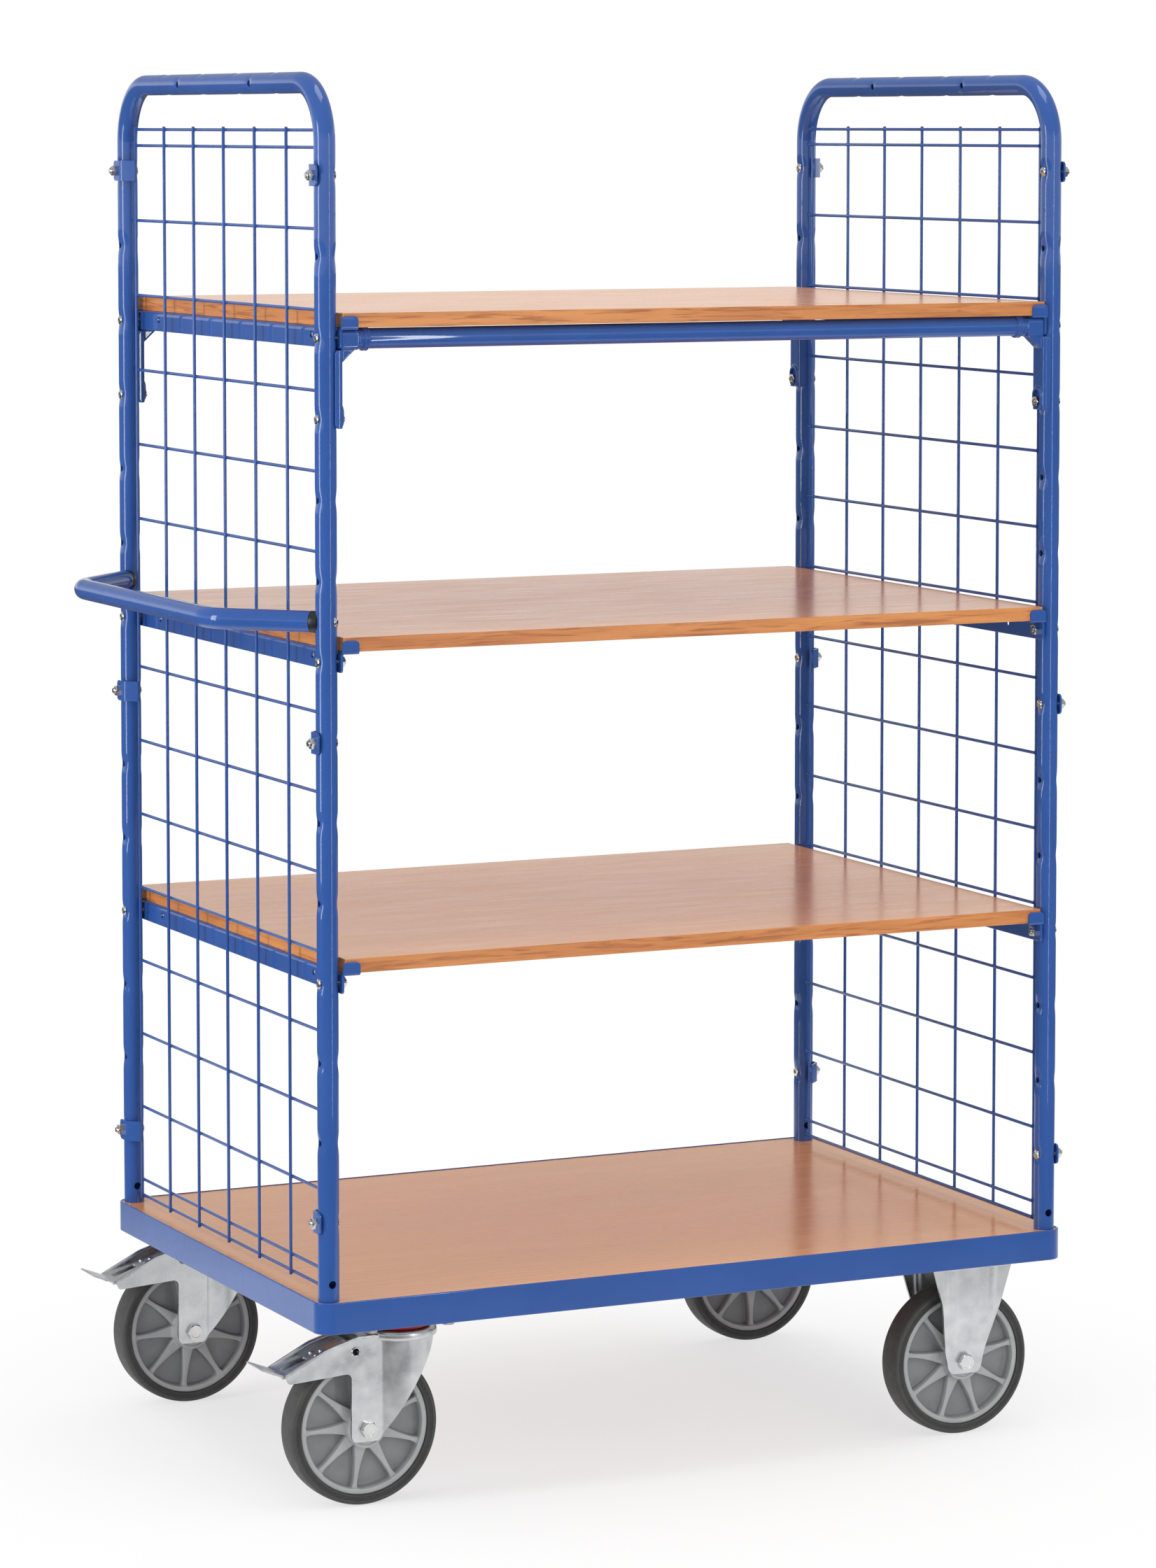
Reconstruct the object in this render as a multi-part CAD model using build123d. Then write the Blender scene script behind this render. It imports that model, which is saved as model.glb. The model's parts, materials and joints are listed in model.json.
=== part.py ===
from build123d import *
import math
import os

# Mesh trolley on four wheels, millimetres, +Z up, +X away from the push handle.
# The origin is on the floor, in the middle of the whole object's box.

# Frame
post_spacing_x = 1028.0
post_spacing_y = 686.0
tube_radius = 13.5
tube_wall = 2.5
hoop_height = 1527.0
hoop_bend = 75.0
hole_pitch = 100.0
holes_per_post = 14
bolt_hole = 4.3
dimple_radius = 8.0
dimple_depth = 1.6
foot_hole_height = 23.0
foot_hole = 5.0
bar_hole_offset = 125.0

# Platform
rim_bottom = 232.0
rim_height = 40.0
rim_wall = 3.0
rim_overhang = 20.0
rim_corner = 22.0
deck_thickness = 15.0
deck_sink = 1.0
deck_play = 0.5
ledge_width = 33.0
ledge_thickness = 3.0
channel_width = 140.0
channel_wall = 4.0
stiffener_width = 25.0
stiffener_offset = 150.0
spigot_play = 0.1

# Mesh walls
wire_radius = 2.05
wire_planes = (2.5, 6.1)
mesh_column = 106.3
mesh_columns = 6
mesh_low_wires = (12.0, 33.6)
mesh_top_wire = 1455.0
mesh_rows = 15
wire_overrun = 4.0
clamp_holes = (1, 7, 14)
clamp_height = 27.0
clamp_thickness = 2.5
clamp_gap = 0.2
clamp_round = 6.0
clamp_tail = 10.0
clamp_bend = 12.0
clamp_overrun = 0.8

# Shelves
shelf_holes = (4, 8, 12)
lug_hole = 11
board_thickness = 18.0
board_lift = 13.0
board_front = 16.0
board_play = 0.5
board_corner = 2.0
rail_thickness = 3.0
rail_depth = 26.0
rail_width = 20.0
rail_end = 357.0
rail_end_round = 5.0
rail_bend = 2.5
rail_hole_offset = 78.0
rail_hole_rise = 2.0
tab_start = 0.5
tab_height = 17.5
tab_round = 6.0

# Cross tubes and brackets under the upper shelf
cross_tube_radius = 12.7
cross_tube_gap = 1.2
bracket_box_length = 30.0
bracket_half_width = 13.0
bracket_bottom = -14.5
bracket_corner = 4.0
bead_radius = 15.5
bead_length = 9.5
bead_gap = 0.2
bracket_spigot = 30.0
gusset_reach = 21.5
gusset_depth = 16.0
gusset_half_width = 9.0
leg_span = (7.0, 18.0)
leg_half_width = 15.5
leg_corner = 5.0
leg_play = 0.2
boss_face = 20.5
boss_half_width = 11.0
boss_span = (-11.0, 19.0)
nut_recess_floor = 16.5
nut_recess_half_width = 8.2
nut_recess_span = (-8.2, 15.0)

# Fasteners
bolt_radius = 4.0
head_radius = 6.5
head_height = 2.2
head_dome = 1.4
recess_radius = 3.0
recess_depth = 1.3
nut_flats = 13.0
nut_height = 6.5
bolt_end = 2.0
clamp_bolt_end = 3.3

# Push handle
handle_level = 850.0
handle_reach = 110.0
handle_bend = 50.0
spacer_start = 8.0
spacer_end = 19.5
plug_length = 25.0

# Casters
caster_height = 238.0
wheel_radius = 100.0
tyre_width = 40.0
tyre_inner = 86.0
tyre_shoulder = 5.0
tyre_crown = 1.2
tyre_edge = 1.5
ring_inner = 79.0
ring_width = 35.0
web_thickness = 7.0
hub_radius = 25.5
hub_width = 51.0
spoke_count = 9
spoke_root = 9.0
spoke_waist = 3.2
spoke_tip = 3.0
spoke_width = 28.0
moulded_overlap = 1.0
groove_radii = (88.5, 91.0, 93.5)
groove_width = 1.0
groove_depth = 0.8
rolled = {"front_left": 21.0, "rear_left": 24.0, "front_right": 11.0, "rear_right": 30.0}
fork_inner = 26.0
fork_plate = 3.5
caster_inset_x = 112.0
caster_inset_y = 42.0
trail = 54.0
plate_size = (135.0, 110.0)
plate_corner = 10.0
plate_pattern = (105.0, 75.0)
plate_hole = 5.5
swivel_plate_thickness = 6.0
fixed_plate_thickness = 4.0
seal_radii = (30.0, 41.0)
seal_height = 9.0
seal_rounding = 3.0
head_disc = 44.0
head_disc_height = 11.7
head_disc_rounding = 4.0
crown_drop = 2.0
bridge_span = (-8.0, 80.0)
leg_foot = (15.0, -16.0)
king_pin = 10.0
king_pin_head = (15.0, 7.0)
running_fit = 0.05
joint_gap = 0.3
axle_radius = 6.0
axle_play = 0.1
sleeve_radius = 10.0
axle_flats = 19.0
axle_head = 7.5
axle_nut = 9.5
plate_bolt_radius = 5.0
plate_bolt_flats = 16.0
plate_bolt_head = 6.4
plate_nut_height = 8.0
pedal_pivot = (-16.5, 100.0)
pedal_rivet = 4.0
rivet_wall = 1.5
rivet_collar = (2.0, 1.5)
rivet_inset = 0.8
pedal_cheek = (22.3, 25.3)
pedal_sheet = 2.5
pedal_tread = ((-21.0, 110.0), (-114.0, 78.0))
pedal_cheek_edge = [(-9.0, 106.0), (-9.0, 94.0), (-24.0, 92.0), (-60.0, 82.0)]
pedal_tab_length = 28.0
pedal_tab_rise = 12.0
pedal_slot = (-106.0, -72.0)
pedal_slot_width = 14.0
shoe_span = (-52.0, -38.0)
shoe_gap = 9.0
shoe_overlap = 1.0
flute_radius = 5.0
flute_height = 3.0

# Levels and places worked out from the values above
rim_top = rim_bottom + rim_height
deck_top = rim_top - deck_sink
deck_bottom = deck_top - deck_thickness
bolt_reach = tube_radius + clamp_gap + clamp_thickness + nut_height + clamp_bolt_end
left_reach = handle_reach + tube_radius
overall_length = left_reach + post_spacing_x + bolt_reach
left_x = -overall_length / 2 + left_reach
right_x = left_x + post_spacing_x
middle_x = (left_x + right_x) / 2
half_y = post_spacing_y / 2
platform_x = post_spacing_x + 2 * rim_overhang
platform_y = post_spacing_y + 2 * rim_overhang
seat = tube_radius - dimple_depth
flange_face = tube_radius + rail_thickness
fork_outer = fork_inner + fork_plate
seal_bottom = caster_height - swivel_plate_thickness - seal_height
disc_top = seal_bottom - joint_gap
disc_bottom = disc_top - head_disc_height
fixed_plate_bottom = caster_height - fixed_plate_thickness
ends = {"left": (left_x, 1), "right": (right_x, -1)}
sides = {"front": (-half_y, 1), "rear": (half_y, -1)}

# Fork legs seen from the side: corners as distances along and up from the axle, with their rounding
fixed_crown = fixed_plate_bottom - wheel_radius
fixed_leg = [
    (-59.0, fixed_crown, 0),
    (59.0, fixed_crown, 0),
    (43.0, 78.0, 0),
    (26.0, -6.0, 0),
    (24.0, -16.0, 9.0),
    (-24.0, -16.0, 9.0),
    (-26.0, -6.0, 0),
    (-43.0, 78.0, 0),
]
# Outward lean of a fixed leg and distance of its flutes from its middle, both by height above the axle
fixed_lean = [(-16.0, 0.0), (14.0, 0.0), (80.0, 19.0), (fixed_crown, 21.0)]
flute_places = [24.0, 29.0, 30.5]
swivel_crown = disc_top - crown_drop - wheel_radius
wall_start = trail - math.sqrt(head_disc**2 - fork_outer**2)
wall_end = trail + head_disc
wall_slope = (swivel_crown - leg_foot[1]) / (wall_end - leg_foot[0])
wall_foot = leg_foot[1] + (wall_start - leg_foot[0]) * wall_slope
swivel_leg = [
    (-22.0, leg_foot[1], 8.0),
    (*leg_foot, 8.0),
    (wall_start + fork_plate / 2, wall_foot + wall_slope * fork_plate / 2, 0),
    (wall_start + fork_plate / 2, swivel_crown, 0),
    (-12.0, swivel_crown, 0),
    (-57.0, 107.0, 0),
    (-112.0, 79.0, 0),
    (-107.0, 67.0, 4.0),
    (-22.0, 73.0, 7.0),
]


def box_between(start, end):
    """Box with these two opposite corners."""
    size = [abs(b - a) for a, b in zip(start, end)]
    middle = [(a + b) / 2 for a, b in zip(start, end)]
    return Pos(*middle) * Box(*size)


def rod(start, end, radius):
    """Round bar from one point to another."""
    axis = Vector(*end) - Vector(*start)
    base = Plane(origin=start, z_dir=axis)
    return base * Cylinder(radius, axis.length, align=(Align.CENTER, Align.CENTER, Align.MIN))


def hexagon(start, direction, flats, height):
    """Six-sided bar from a point along a direction."""
    base = Plane(origin=start, z_dir=direction)
    return base * extrude(RegularPolygon(flats / 2, 6, major_radius=False), amount=height)


def prism(points, plane, amount, both=False):
    """Straight bar with this outline on this plane."""
    outline = make_face(Polyline(*points, close=True))
    return extrude(plane * outline, amount=amount, both=both)


def post_level(hole):
    """Height of a post hole, counted upwards from the deck."""
    return deck_top + hole * hole_pitch


def posts():
    """Each post: its end, its side, its centre and its inward directions."""
    for end, (x, inward_x) in ends.items():
        for side, (y, inward_y) in sides.items():
            yield end, side, x, y, inward_x, inward_y


def group(solids):
    """Separate solids that share one node."""
    return Compound(children=list(solids))


def screw(x, y, z, direction, head_at, tip_at):
    """Round-headed bolt along X, from its head face to its tip, both as offsets from x."""
    head_face = head_at - head_height
    head = rod((x + direction * head_face, y, z), (x + direction * head_at, y, z), head_radius)
    rim = head.edges().filter_by(GeomType.CIRCLE).sort_by(Axis.X)[0 if direction > 0 else -1]
    head = fillet(rim, head_dome)
    shank = rod((x + direction * head_at, y, z), (x + direction * tip_at, y, z), bolt_radius)
    recess = hexagon((x + direction * head_face, y, z), (direction, 0, 0), 2 * recess_radius, recess_depth)
    return head + shank - recess


def nut(x, y, z, direction, face):
    """Six-sided nut along X around a bolt, as an offset from x."""
    start = (x + direction * face, y, z)
    end = (x + direction * (face + nut_height), y, z)
    body = hexagon(start, (direction, 0, 0), nut_flats, nut_height)
    return body - rod(start, end, bolt_radius + running_fit)


def rounded_plate(size_x, size_y, corner, bottom, top, x=0.0, y=0.0):
    """Flat plate with rounded corners."""
    return Pos(x, y, bottom) * extrude(RectangleRounded(size_x, size_y, corner), amount=top - bottom)


# Platform
def caster_places():
    """Centre of each caster plate, with its end and side."""
    for end, side, x, y, inward_x, inward_y in posts():
        yield end, side, x + inward_x * caster_inset_x, y + inward_y * caster_inset_y


def plate_holes(x, y):
    """Centres of the four holes of one caster plate."""
    for step_x in (-0.5, 0.5):
        for step_y in (-0.5, 0.5):
            yield x + step_x * plate_pattern[0], y + step_y * plate_pattern[1]


def platform_frame():
    inner_x = platform_x - 2 * rim_wall
    inner_y = platform_y - 2 * rim_wall
    inner_corner = rim_corner - rim_wall
    ledge_bottom = deck_bottom - ledge_thickness
    floor = caster_height + channel_wall
    ledge_x = platform_x - 2 * ledge_width
    ledge_y = platform_y - 2 * ledge_width
    outer = rounded_plate(platform_x, platform_y, rim_corner, rim_bottom, rim_top, middle_x)
    frame = outer - rounded_plate(inner_x, inner_y, inner_corner, rim_bottom, rim_top, middle_x)
    ledge = rounded_plate(inner_x, inner_y, inner_corner, ledge_bottom, deck_bottom, middle_x)
    frame += ledge - rounded_plate(ledge_x, ledge_y, inner_corner, ledge_bottom, deck_bottom, middle_x)
    for x, inward_x in ends.values():
        center = x + inward_x * caster_inset_x
        half = channel_width / 2
        reach_y = inner_y / 2
        inner = half - channel_wall
        frame += box_between((center - half, -reach_y, caster_height), (center + half, reach_y, ledge_bottom))
        frame -= box_between((center - inner, -reach_y, floor), (center + inner, reach_y, ledge_bottom))
    stiffener_x = post_spacing_x / 2 - caster_inset_x - channel_width / 2
    for y in (-stiffener_offset, stiffener_offset):
        low = (middle_x - stiffener_x, y - stiffener_width / 2, caster_height)
        high = (middle_x + stiffener_x, y + stiffener_width / 2, ledge_bottom)
        frame += box_between(low, high)
    for end, side, x, y, inward_x, inward_y in posts():
        frame += rod((x, y, deck_bottom), (x, y, deck_top), tube_radius - tube_wall - spigot_play)
    for end, side, x, y in caster_places():
        for hole_x, hole_y in plate_holes(x, y):
            frame -= rod((hole_x, hole_y, caster_height), (hole_x, hole_y, floor), plate_hole)
    return frame


def deck_board():
    shrink = 2 * (rim_wall + deck_play)
    corner = rim_corner - rim_wall - deck_play
    board = rounded_plate(platform_x - shrink, platform_y - shrink, corner, deck_bottom, deck_top, middle_x)
    for end, side, x, y, inward_x, inward_y in posts():
        board -= rod((x, y, deck_bottom), (x, y, deck_top), tube_radius + spigot_play)
    return board


# Hoops, mesh walls and clamps
def hoop(end):
    x, inward_x = ends[end]
    top = deck_top + hoop_height - tube_radius
    corners = [(x, -half_y, deck_bottom), (x, -half_y, top), (x, half_y, top), (x, half_y, deck_bottom)]
    path = FilletPolyline(*corners, radius=hoop_bend)
    section = Circle(tube_radius) - Circle(tube_radius - tube_wall)
    tube = sweep(Plane(origin=path @ 0, z_dir=path % 0) * section, path=path)
    cutters = []
    for y, inward_y in sides.values():
        for hole in range(1, holes_per_post + 1):
            z = post_level(hole)
            cutters.append(rod((x - tube_radius, y, z), (x + tube_radius, y, z), bolt_hole))
            for outward in (-1, 1):
                flat = x + outward * seat
                cutters.append(rod((flat, y, z), (flat + outward * tube_radius, y, z), dimple_radius))
        level = deck_top + foot_hole_height
        cutters.append(rod((x, y - tube_radius, level), (x, y + tube_radius, level), foot_hole))
        level = deck_top + handle_level
        step = inward_x * tube_radius
        slant = inward_y * tube_radius
        cutters.append(rod((x - step, y + slant, level), (x + step, y - slant, level), bolt_hole))
        head_seat = seat / math.sqrt(2)
        near = (x + inward_x * head_seat, y - inward_y * head_seat, level)
        far = (x + 2 * step, y - 2 * slant, level)
        cutters.append(rod(near, far, dimple_radius))
    for y in (-bar_hole_offset, bar_hole_offset):
        cutters.append(rod((x - tube_radius, y, top), (x, y, top), bolt_hole))
    return tube - cutters


def mesh_wall(end):
    x, inward_x = ends[end]
    upright_x = x + inward_x * wire_planes[0]
    level_x = x + inward_x * wire_planes[1]
    half_width = mesh_columns * mesh_column / 2
    low, first = mesh_low_wires
    levels = [low] + [first + row * hole_pitch for row in range(mesh_rows)] + [mesh_top_wire]
    bottom = deck_top + low - wire_overrun
    top = deck_top + mesh_top_wire + wire_overrun
    reach = half_width + wire_overrun
    wires = []
    for column in range(mesh_columns + 1):
        y = column * mesh_column - half_width
        wires.append(rod((upright_x, y, bottom), (upright_x, y, top), wire_radius))
    for level in levels:
        z = deck_top + level
        wires.append(rod((level_x, -reach, z), (level_x, reach, z), wire_radius))
    return wires[0] + wires[1:]


def mesh_clamp(x, y, z, inward_x, inward_y):
    """Strip bolted outside a post and bent round it, lying against the outermost wire of the mesh."""
    face = -(tube_radius + clamp_gap)
    back = face - clamp_thickness
    reach_x = wire_planes[0] - face
    reach_y = half_y - mesh_columns * mesh_column / 2 - clamp_bend
    clear = wire_radius + clamp_gap
    distance = math.hypot(reach_x, reach_y)
    slope = math.atan2(reach_y, reach_x) + math.asin(clear / distance)
    length = math.sqrt(distance**2 - clear**2) + clamp_overrun
    tip_x = face + length * math.cos(slope)
    tip_y = clamp_bend + length * math.sin(slope)
    offset = clamp_thickness * math.tan((math.pi / 2 - slope) / 2)
    normal_x = -clamp_thickness * math.sin(slope)
    normal_y = clamp_thickness * math.cos(slope)
    outline = [
        (face, -clamp_tail),
        (face, clamp_bend),
        (tip_x, tip_y),
        (tip_x + normal_x, tip_y + normal_y),
        (back, clamp_bend + offset),
        (back, -clamp_tail),
    ]
    points = [(x + inward_x * a, y + inward_y * b) for a, b in outline]
    strip = prism(points, Plane.XY.offset(z - clamp_height / 2), clamp_height)
    order = 0 if inward_y > 0 else -1
    strip = fillet(strip.edges().filter_by(Axis.X).group_by(Axis.Y)[order], clamp_round)
    return strip - rod((x - 2 * tube_radius, y, z), (x + 2 * tube_radius, y, z), bolt_hole)


def mesh_clamps(wanted_end):
    for end, side, x, y, inward_x, inward_y in posts():
        if end == wanted_end:
            for hole in clamp_holes:
                yield mesh_clamp(x, y, post_level(hole), inward_x, inward_y)


def clamp_bolts():
    tip = bolt_reach
    for end, side, x, y, inward_x, inward_y in posts():
        for hole in clamp_holes:
            yield screw(x, y, post_level(hole), -inward_x, -seat, tip)


def clamp_nuts():
    face = tube_radius + clamp_gap + clamp_thickness
    for end, side, x, y, inward_x, inward_y in posts():
        for hole in clamp_holes:
            yield nut(x, y, post_level(hole), -inward_x, face)


# Shelves
def shelf_board(hole):
    half_x = post_spacing_x / 2 - flange_face - board_play
    reach_y = half_y + board_front
    bottom = post_level(hole) + board_lift
    low = (middle_x - half_x, -reach_y, bottom)
    high = (middle_x + half_x, reach_y, bottom + board_thickness)
    board = box_between(low, high)
    return fillet(board.edges().filter_by(Axis.Z), board_corner)


def shelf_rail(end, hole):
    x, inward_x = ends[end]
    level = post_level(hole)
    top = level + board_lift
    outer = x + inward_x * tube_radius
    inner = outer + inward_x * rail_thickness
    lip = inner + inward_x * rail_width
    reach_y = half_y + board_front
    upright = box_between((outer, -rail_end, top - rail_depth), (inner, rail_end, top - rail_thickness))
    rail = fillet(upright.edges().filter_by(Axis.X).group_by(Axis.Z)[0], rail_end_round)
    flange = box_between((outer, -reach_y, top - rail_thickness), (lip, reach_y, top))
    bend = flange.edges().filter_by(Axis.Y).sort_by_distance((outer, 0, top))[0]
    rail += fillet(bend, rail_bend)
    for y, inward_y in sides.values():
        face = -inward_y * reach_y
        tab_low = (outer + inward_x * tab_start, face, top - rail_thickness)
        tab_high = (lip, face - inward_y * rail_thickness, top - rail_thickness + tab_height)
        tab = box_between(tab_low, tab_high)
        corners = tab.edges().filter_by(Axis.Y).group_by(Axis.Z)[-1]
        rail += fillet(corners, tab_round)
        rail -= rod((outer, y, level), (inner, y, level), bolt_hole)
        hole_y = y + inward_y * rail_hole_offset
        hole_z = level + rail_hole_rise
        rail -= rod((outer, hole_y, hole_z), (inner, hole_y, hole_z), bolt_hole)
    return rail


def shelf_bolts():
    for end, side, x, y, inward_x, inward_y in posts():
        for hole in shelf_holes:
            threaded_into_bracket = hole == shelf_holes[-1]
            tip = flange_face + (bracket_box_length / 2 if threaded_into_bracket else nut_height + bolt_end)
            yield screw(x, y, post_level(hole), inward_x, -seat, tip)
        tip = nut_recess_floor + nut_height + bolt_end
        yield screw(x, y, post_level(lug_hole), inward_x, -seat, tip)


def shelf_nuts():
    for end, side, x, y, inward_x, inward_y in posts():
        for hole in shelf_holes[:-1]:
            yield nut(x, y, post_level(hole), inward_x, flange_face)
        yield nut(x, y, post_level(lug_hole), inward_x, nut_recess_floor)


def cross_tube_level():
    return post_level(shelf_holes[-1]) + board_lift - cross_tube_gap - cross_tube_radius


def bead_end():
    return flange_face + bracket_box_length + bead_length


def cross_tube(side):
    y = sides[side][0]
    z = cross_tube_level()
    start = (left_x + bead_end(), y, z)
    end = (right_x - bead_end(), y, z)
    return rod(start, end, cross_tube_radius) - rod(start, end, cross_tube_radius - tube_wall)


def bracket(end, side):
    """Formed bracket: box under the rail, bead and spigot for the cross tube, leg and boss on the post."""
    x, inward_x = ends[end]
    y = sides[side][0]
    level = post_level(shelf_holes[-1])
    lug_level = post_level(lug_hole)
    tube_level = cross_tube_level()
    top = level + board_lift - rail_thickness
    knee = level + bracket_bottom
    box_end = flange_face + bracket_box_length

    def place(offset, across, height):
        return (x + inward_x * offset, y + across, height)

    def upright_slot(start, end, half_width, span):
        low, high = span
        middle = place(start, 0, lug_level + (low + high) / 2)
        base = Plane(origin=middle, x_dir=(0, 0, 1), z_dir=(inward_x, 0, 0))
        return base * extrude(SlotOverall(high - low, 2 * half_width), amount=end - start)

    low = place(flange_face, -bracket_half_width, knee)
    box = box_between(low, place(box_end, bracket_half_width, top))
    body = fillet(box.edges().filter_by(Axis.X), bracket_corner)
    bead = rod(place(box_end, 0, tube_level), place(bead_end(), 0, tube_level), bead_radius)
    board_face = level + board_lift - bead_gap
    above_low = place(box_end, -bead_radius, board_face)
    body += bead - box_between(above_low, place(bead_end(), bead_radius, tube_level + bead_radius))
    spigot = cross_tube_radius - tube_wall - spigot_play
    body += rod(place(box_end, 0, tube_level), place(bead_end() + bracket_spigot, 0, tube_level), spigot)
    leg_inner, leg_face = leg_span
    gusset = [
        (x + inward_x * flange_face, knee),
        (x + inward_x * (flange_face + gusset_reach), knee),
        (x + inward_x * leg_face, knee - gusset_depth),
        (x + inward_x * flange_face, knee - gusset_depth),
    ]
    body += prism(gusset, Plane.XZ.offset(-y), gusset_half_width, both=True)
    foot = lug_level + boss_span[0]
    leg = box_between(place(leg_inner, -leg_half_width, foot), place(leg_face, leg_half_width, knee))
    face_edges = leg.edges().filter_by(Axis.Z).group_by(Axis.X)[-1 if inward_x > 0 else 0]
    body += fillet(face_edges, leg_corner)
    body += upright_slot(tube_radius, boss_face, boss_half_width, boss_span)
    body -= upright_slot(nut_recess_floor, boss_face, nut_recess_half_width, nut_recess_span)
    body -= rod((x, y, foot), (x, y, knee), tube_radius + leg_play)
    body -= rod(place(0, 0, lug_level), place(boss_face, 0, lug_level), bolt_hole)
    return body - rod(place(0, 0, level), place(flange_face + bracket_box_length / 2, 0, level), bolt_hole)


# Push handle
def handle_point(y, inward_y, distance):
    """Point on the slanting arm at a distance from the post's axis."""
    step = distance / math.sqrt(2)
    return (left_x - step, y + inward_y * step, deck_top + handle_level)


def push_handle():
    corner = handle_reach * math.sqrt(2)
    route = [handle_point(*sides["front"], spacer_end), handle_point(*sides["front"], corner)]
    route += [handle_point(*sides["rear"], corner), handle_point(*sides["rear"], spacer_end)]
    path = FilletPolyline(*route, radius=handle_bend)
    section = Circle(tube_radius) - Circle(tube_radius - tube_wall)
    bow = sweep(Plane(origin=path @ 0, z_dir=path % 0) * section, path=path)
    for y, inward_y in sides.values():
        start = handle_point(y, inward_y, spacer_end)
        end = handle_point(y, inward_y, spacer_end + plug_length)
        bow += rod(start, end, tube_radius - tube_wall) - rod(start, end, bolt_hole)
    return bow


def handle_spacers():
    level = deck_top + handle_level
    for y, inward_y in sides.values():
        start = handle_point(y, inward_y, spacer_start)
        end = handle_point(y, inward_y, spacer_end)
        spacer = rod(start, end, tube_radius) - rod(start, end, bolt_hole)
        post = rod((left_x, y, level - 2 * tube_radius), (left_x, y, level + 2 * tube_radius), tube_radius)
        yield spacer - post


def handle_bolts():
    for y, inward_y in sides.values():
        head_seat = handle_point(y, inward_y, -seat)
        head_face = handle_point(y, inward_y, -seat - head_height)
        tip = handle_point(y, inward_y, spacer_end + plug_length)
        bolt = rod(head_face, head_seat, head_radius) + rod(head_seat, tip, bolt_radius)
        inward = Vector(*tip) - Vector(*head_face)
        yield bolt - hexagon(head_face, inward, 2 * recess_radius, recess_depth)


# Casters
def wheel_rim(x, y, first_spoke):
    """Moulded wheel with hub, web, tapered spokes and rim ring, turning on its sleeve."""
    axle = Plane(origin=(x, y, wheel_radius), z_dir=(0, 1, 0), x_dir=(1, 0, 0))
    rim = Cylinder(hub_radius, hub_width) + Cylinder(ring_inner + moulded_overlap, web_thickness)
    rim += Cylinder(tyre_inner, ring_width) - Cylinder(ring_inner, ring_width)
    root = hub_radius - moulded_overlap
    tip = ring_inner + moulded_overlap
    waist = (root + tip) / 2
    upper = ThreePointArc((root, spoke_root), (waist, spoke_waist), (tip, spoke_tip))
    lower = ThreePointArc((root, -spoke_root), (waist, -spoke_waist), (tip, -spoke_tip))
    outline = [upper, lower, Line(upper @ 0, lower @ 0), Line(upper @ 1, lower @ 1)]
    spoke = extrude(make_face(outline), amount=spoke_width / 2, both=True)
    rim += [Rot(0, 0, -first_spoke + turn * 360 / spoke_count) * spoke for turn in range(spoke_count)]
    rim -= Cylinder(sleeve_radius + running_fit, hub_width)
    return axle * rim


def tyre(x, y):
    """Tread ring with rounded shoulders and fine grooves round both side walls."""
    half = tyre_width / 2
    tread = wheel_radius - tyre_crown
    profile = make_face(Polyline(
        (tyre_inner, -half + tyre_edge),
        (tyre_inner + tyre_edge, -half),
        (wheel_radius - tyre_shoulder, -half),
        (tread, -half + tyre_shoulder),
        (wheel_radius, 0),
        (tread, half - tyre_shoulder),
        (wheel_radius - tyre_shoulder, half),
        (tyre_inner + tyre_edge, half),
        (tyre_inner, half - tyre_edge),
        close=True,
    ))
    for radius in groove_radii:
        for wall in (-half, half):
            profile -= Pos(radius, wall) * Rectangle(groove_width, 2 * groove_depth)
    ring = revolve(Plane.XZ * profile, Axis.Z)
    return Plane(origin=(x, y, wheel_radius), z_dir=(0, 1, 0), x_dir=(1, 0, 0)) * ring


def axle_bolt(x, y):
    head = hexagon((x, y - fork_outer, wheel_radius), (0, -1, 0), axle_flats, axle_head)
    tip = y + fork_outer + axle_nut + bolt_end
    return head + rod((x, y - fork_outer, wheel_radius), (x, tip, wheel_radius), axle_radius)


def axle_end_nut(x, y):
    body = hexagon((x, y + fork_outer, wheel_radius), (0, 1, 0), axle_flats, axle_nut)
    bore_end = y + fork_outer + axle_nut
    return body - rod((x, y, wheel_radius), (x, bore_end, wheel_radius), axle_radius + running_fit)


def axle_sleeve(x, y):
    start = (x, y - fork_inner, wheel_radius)
    end = (x, y + fork_inner, wheel_radius)
    return rod(start, end, sleeve_radius) - rod(start, end, axle_radius + axle_play)


def upright_plate(outline, x, face, thickness):
    """Plate with this outline round the axle, from one face towards the rear."""
    points = [(x + along, wheel_radius + up) for along, up, rounding in outline]
    plate = prism(points, Plane.XZ.offset(-face), -thickness)
    for along, up, rounding in outline:
        if rounding:
            corner = (x + along, face, wheel_radius + up)
            edge = plate.edges().filter_by(Axis.Y).sort_by_distance(corner)[0]
            plate = fillet(edge, rounding)
    return plate


def leaning_sheet(x, y, outward, inner, outer):
    """Sheet that leans as a fixed leg does, between two distances from the wheel's middle."""
    outside = [(y + outward * (outer + lean), wheel_radius + up) for up, lean in fixed_lean]
    inside = [(y + outward * (inner + lean), wheel_radius + up) for up, lean in reversed(fixed_lean)]
    return prism(outside + inside, Plane.YZ.offset(x), plate_size[0] / 2, both=True)


def flute(x, y, outward, slant):
    """Rounded rib up the outside of a fixed leg."""
    route = []
    for (up, lean), along in zip(fixed_lean[1:], flute_places):
        route.append((x + slant * along, y + outward * (fork_outer + lean), wheel_radius + up))
    foot, bend, head = route
    rib = rod(foot, bend, flute_radius) + Pos(*bend) * Sphere(flute_radius) + rod(bend, head, flute_radius)
    return rib & leaning_sheet(x, y, outward, fork_outer - fork_plate / 2, fork_outer + flute_height)


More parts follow.
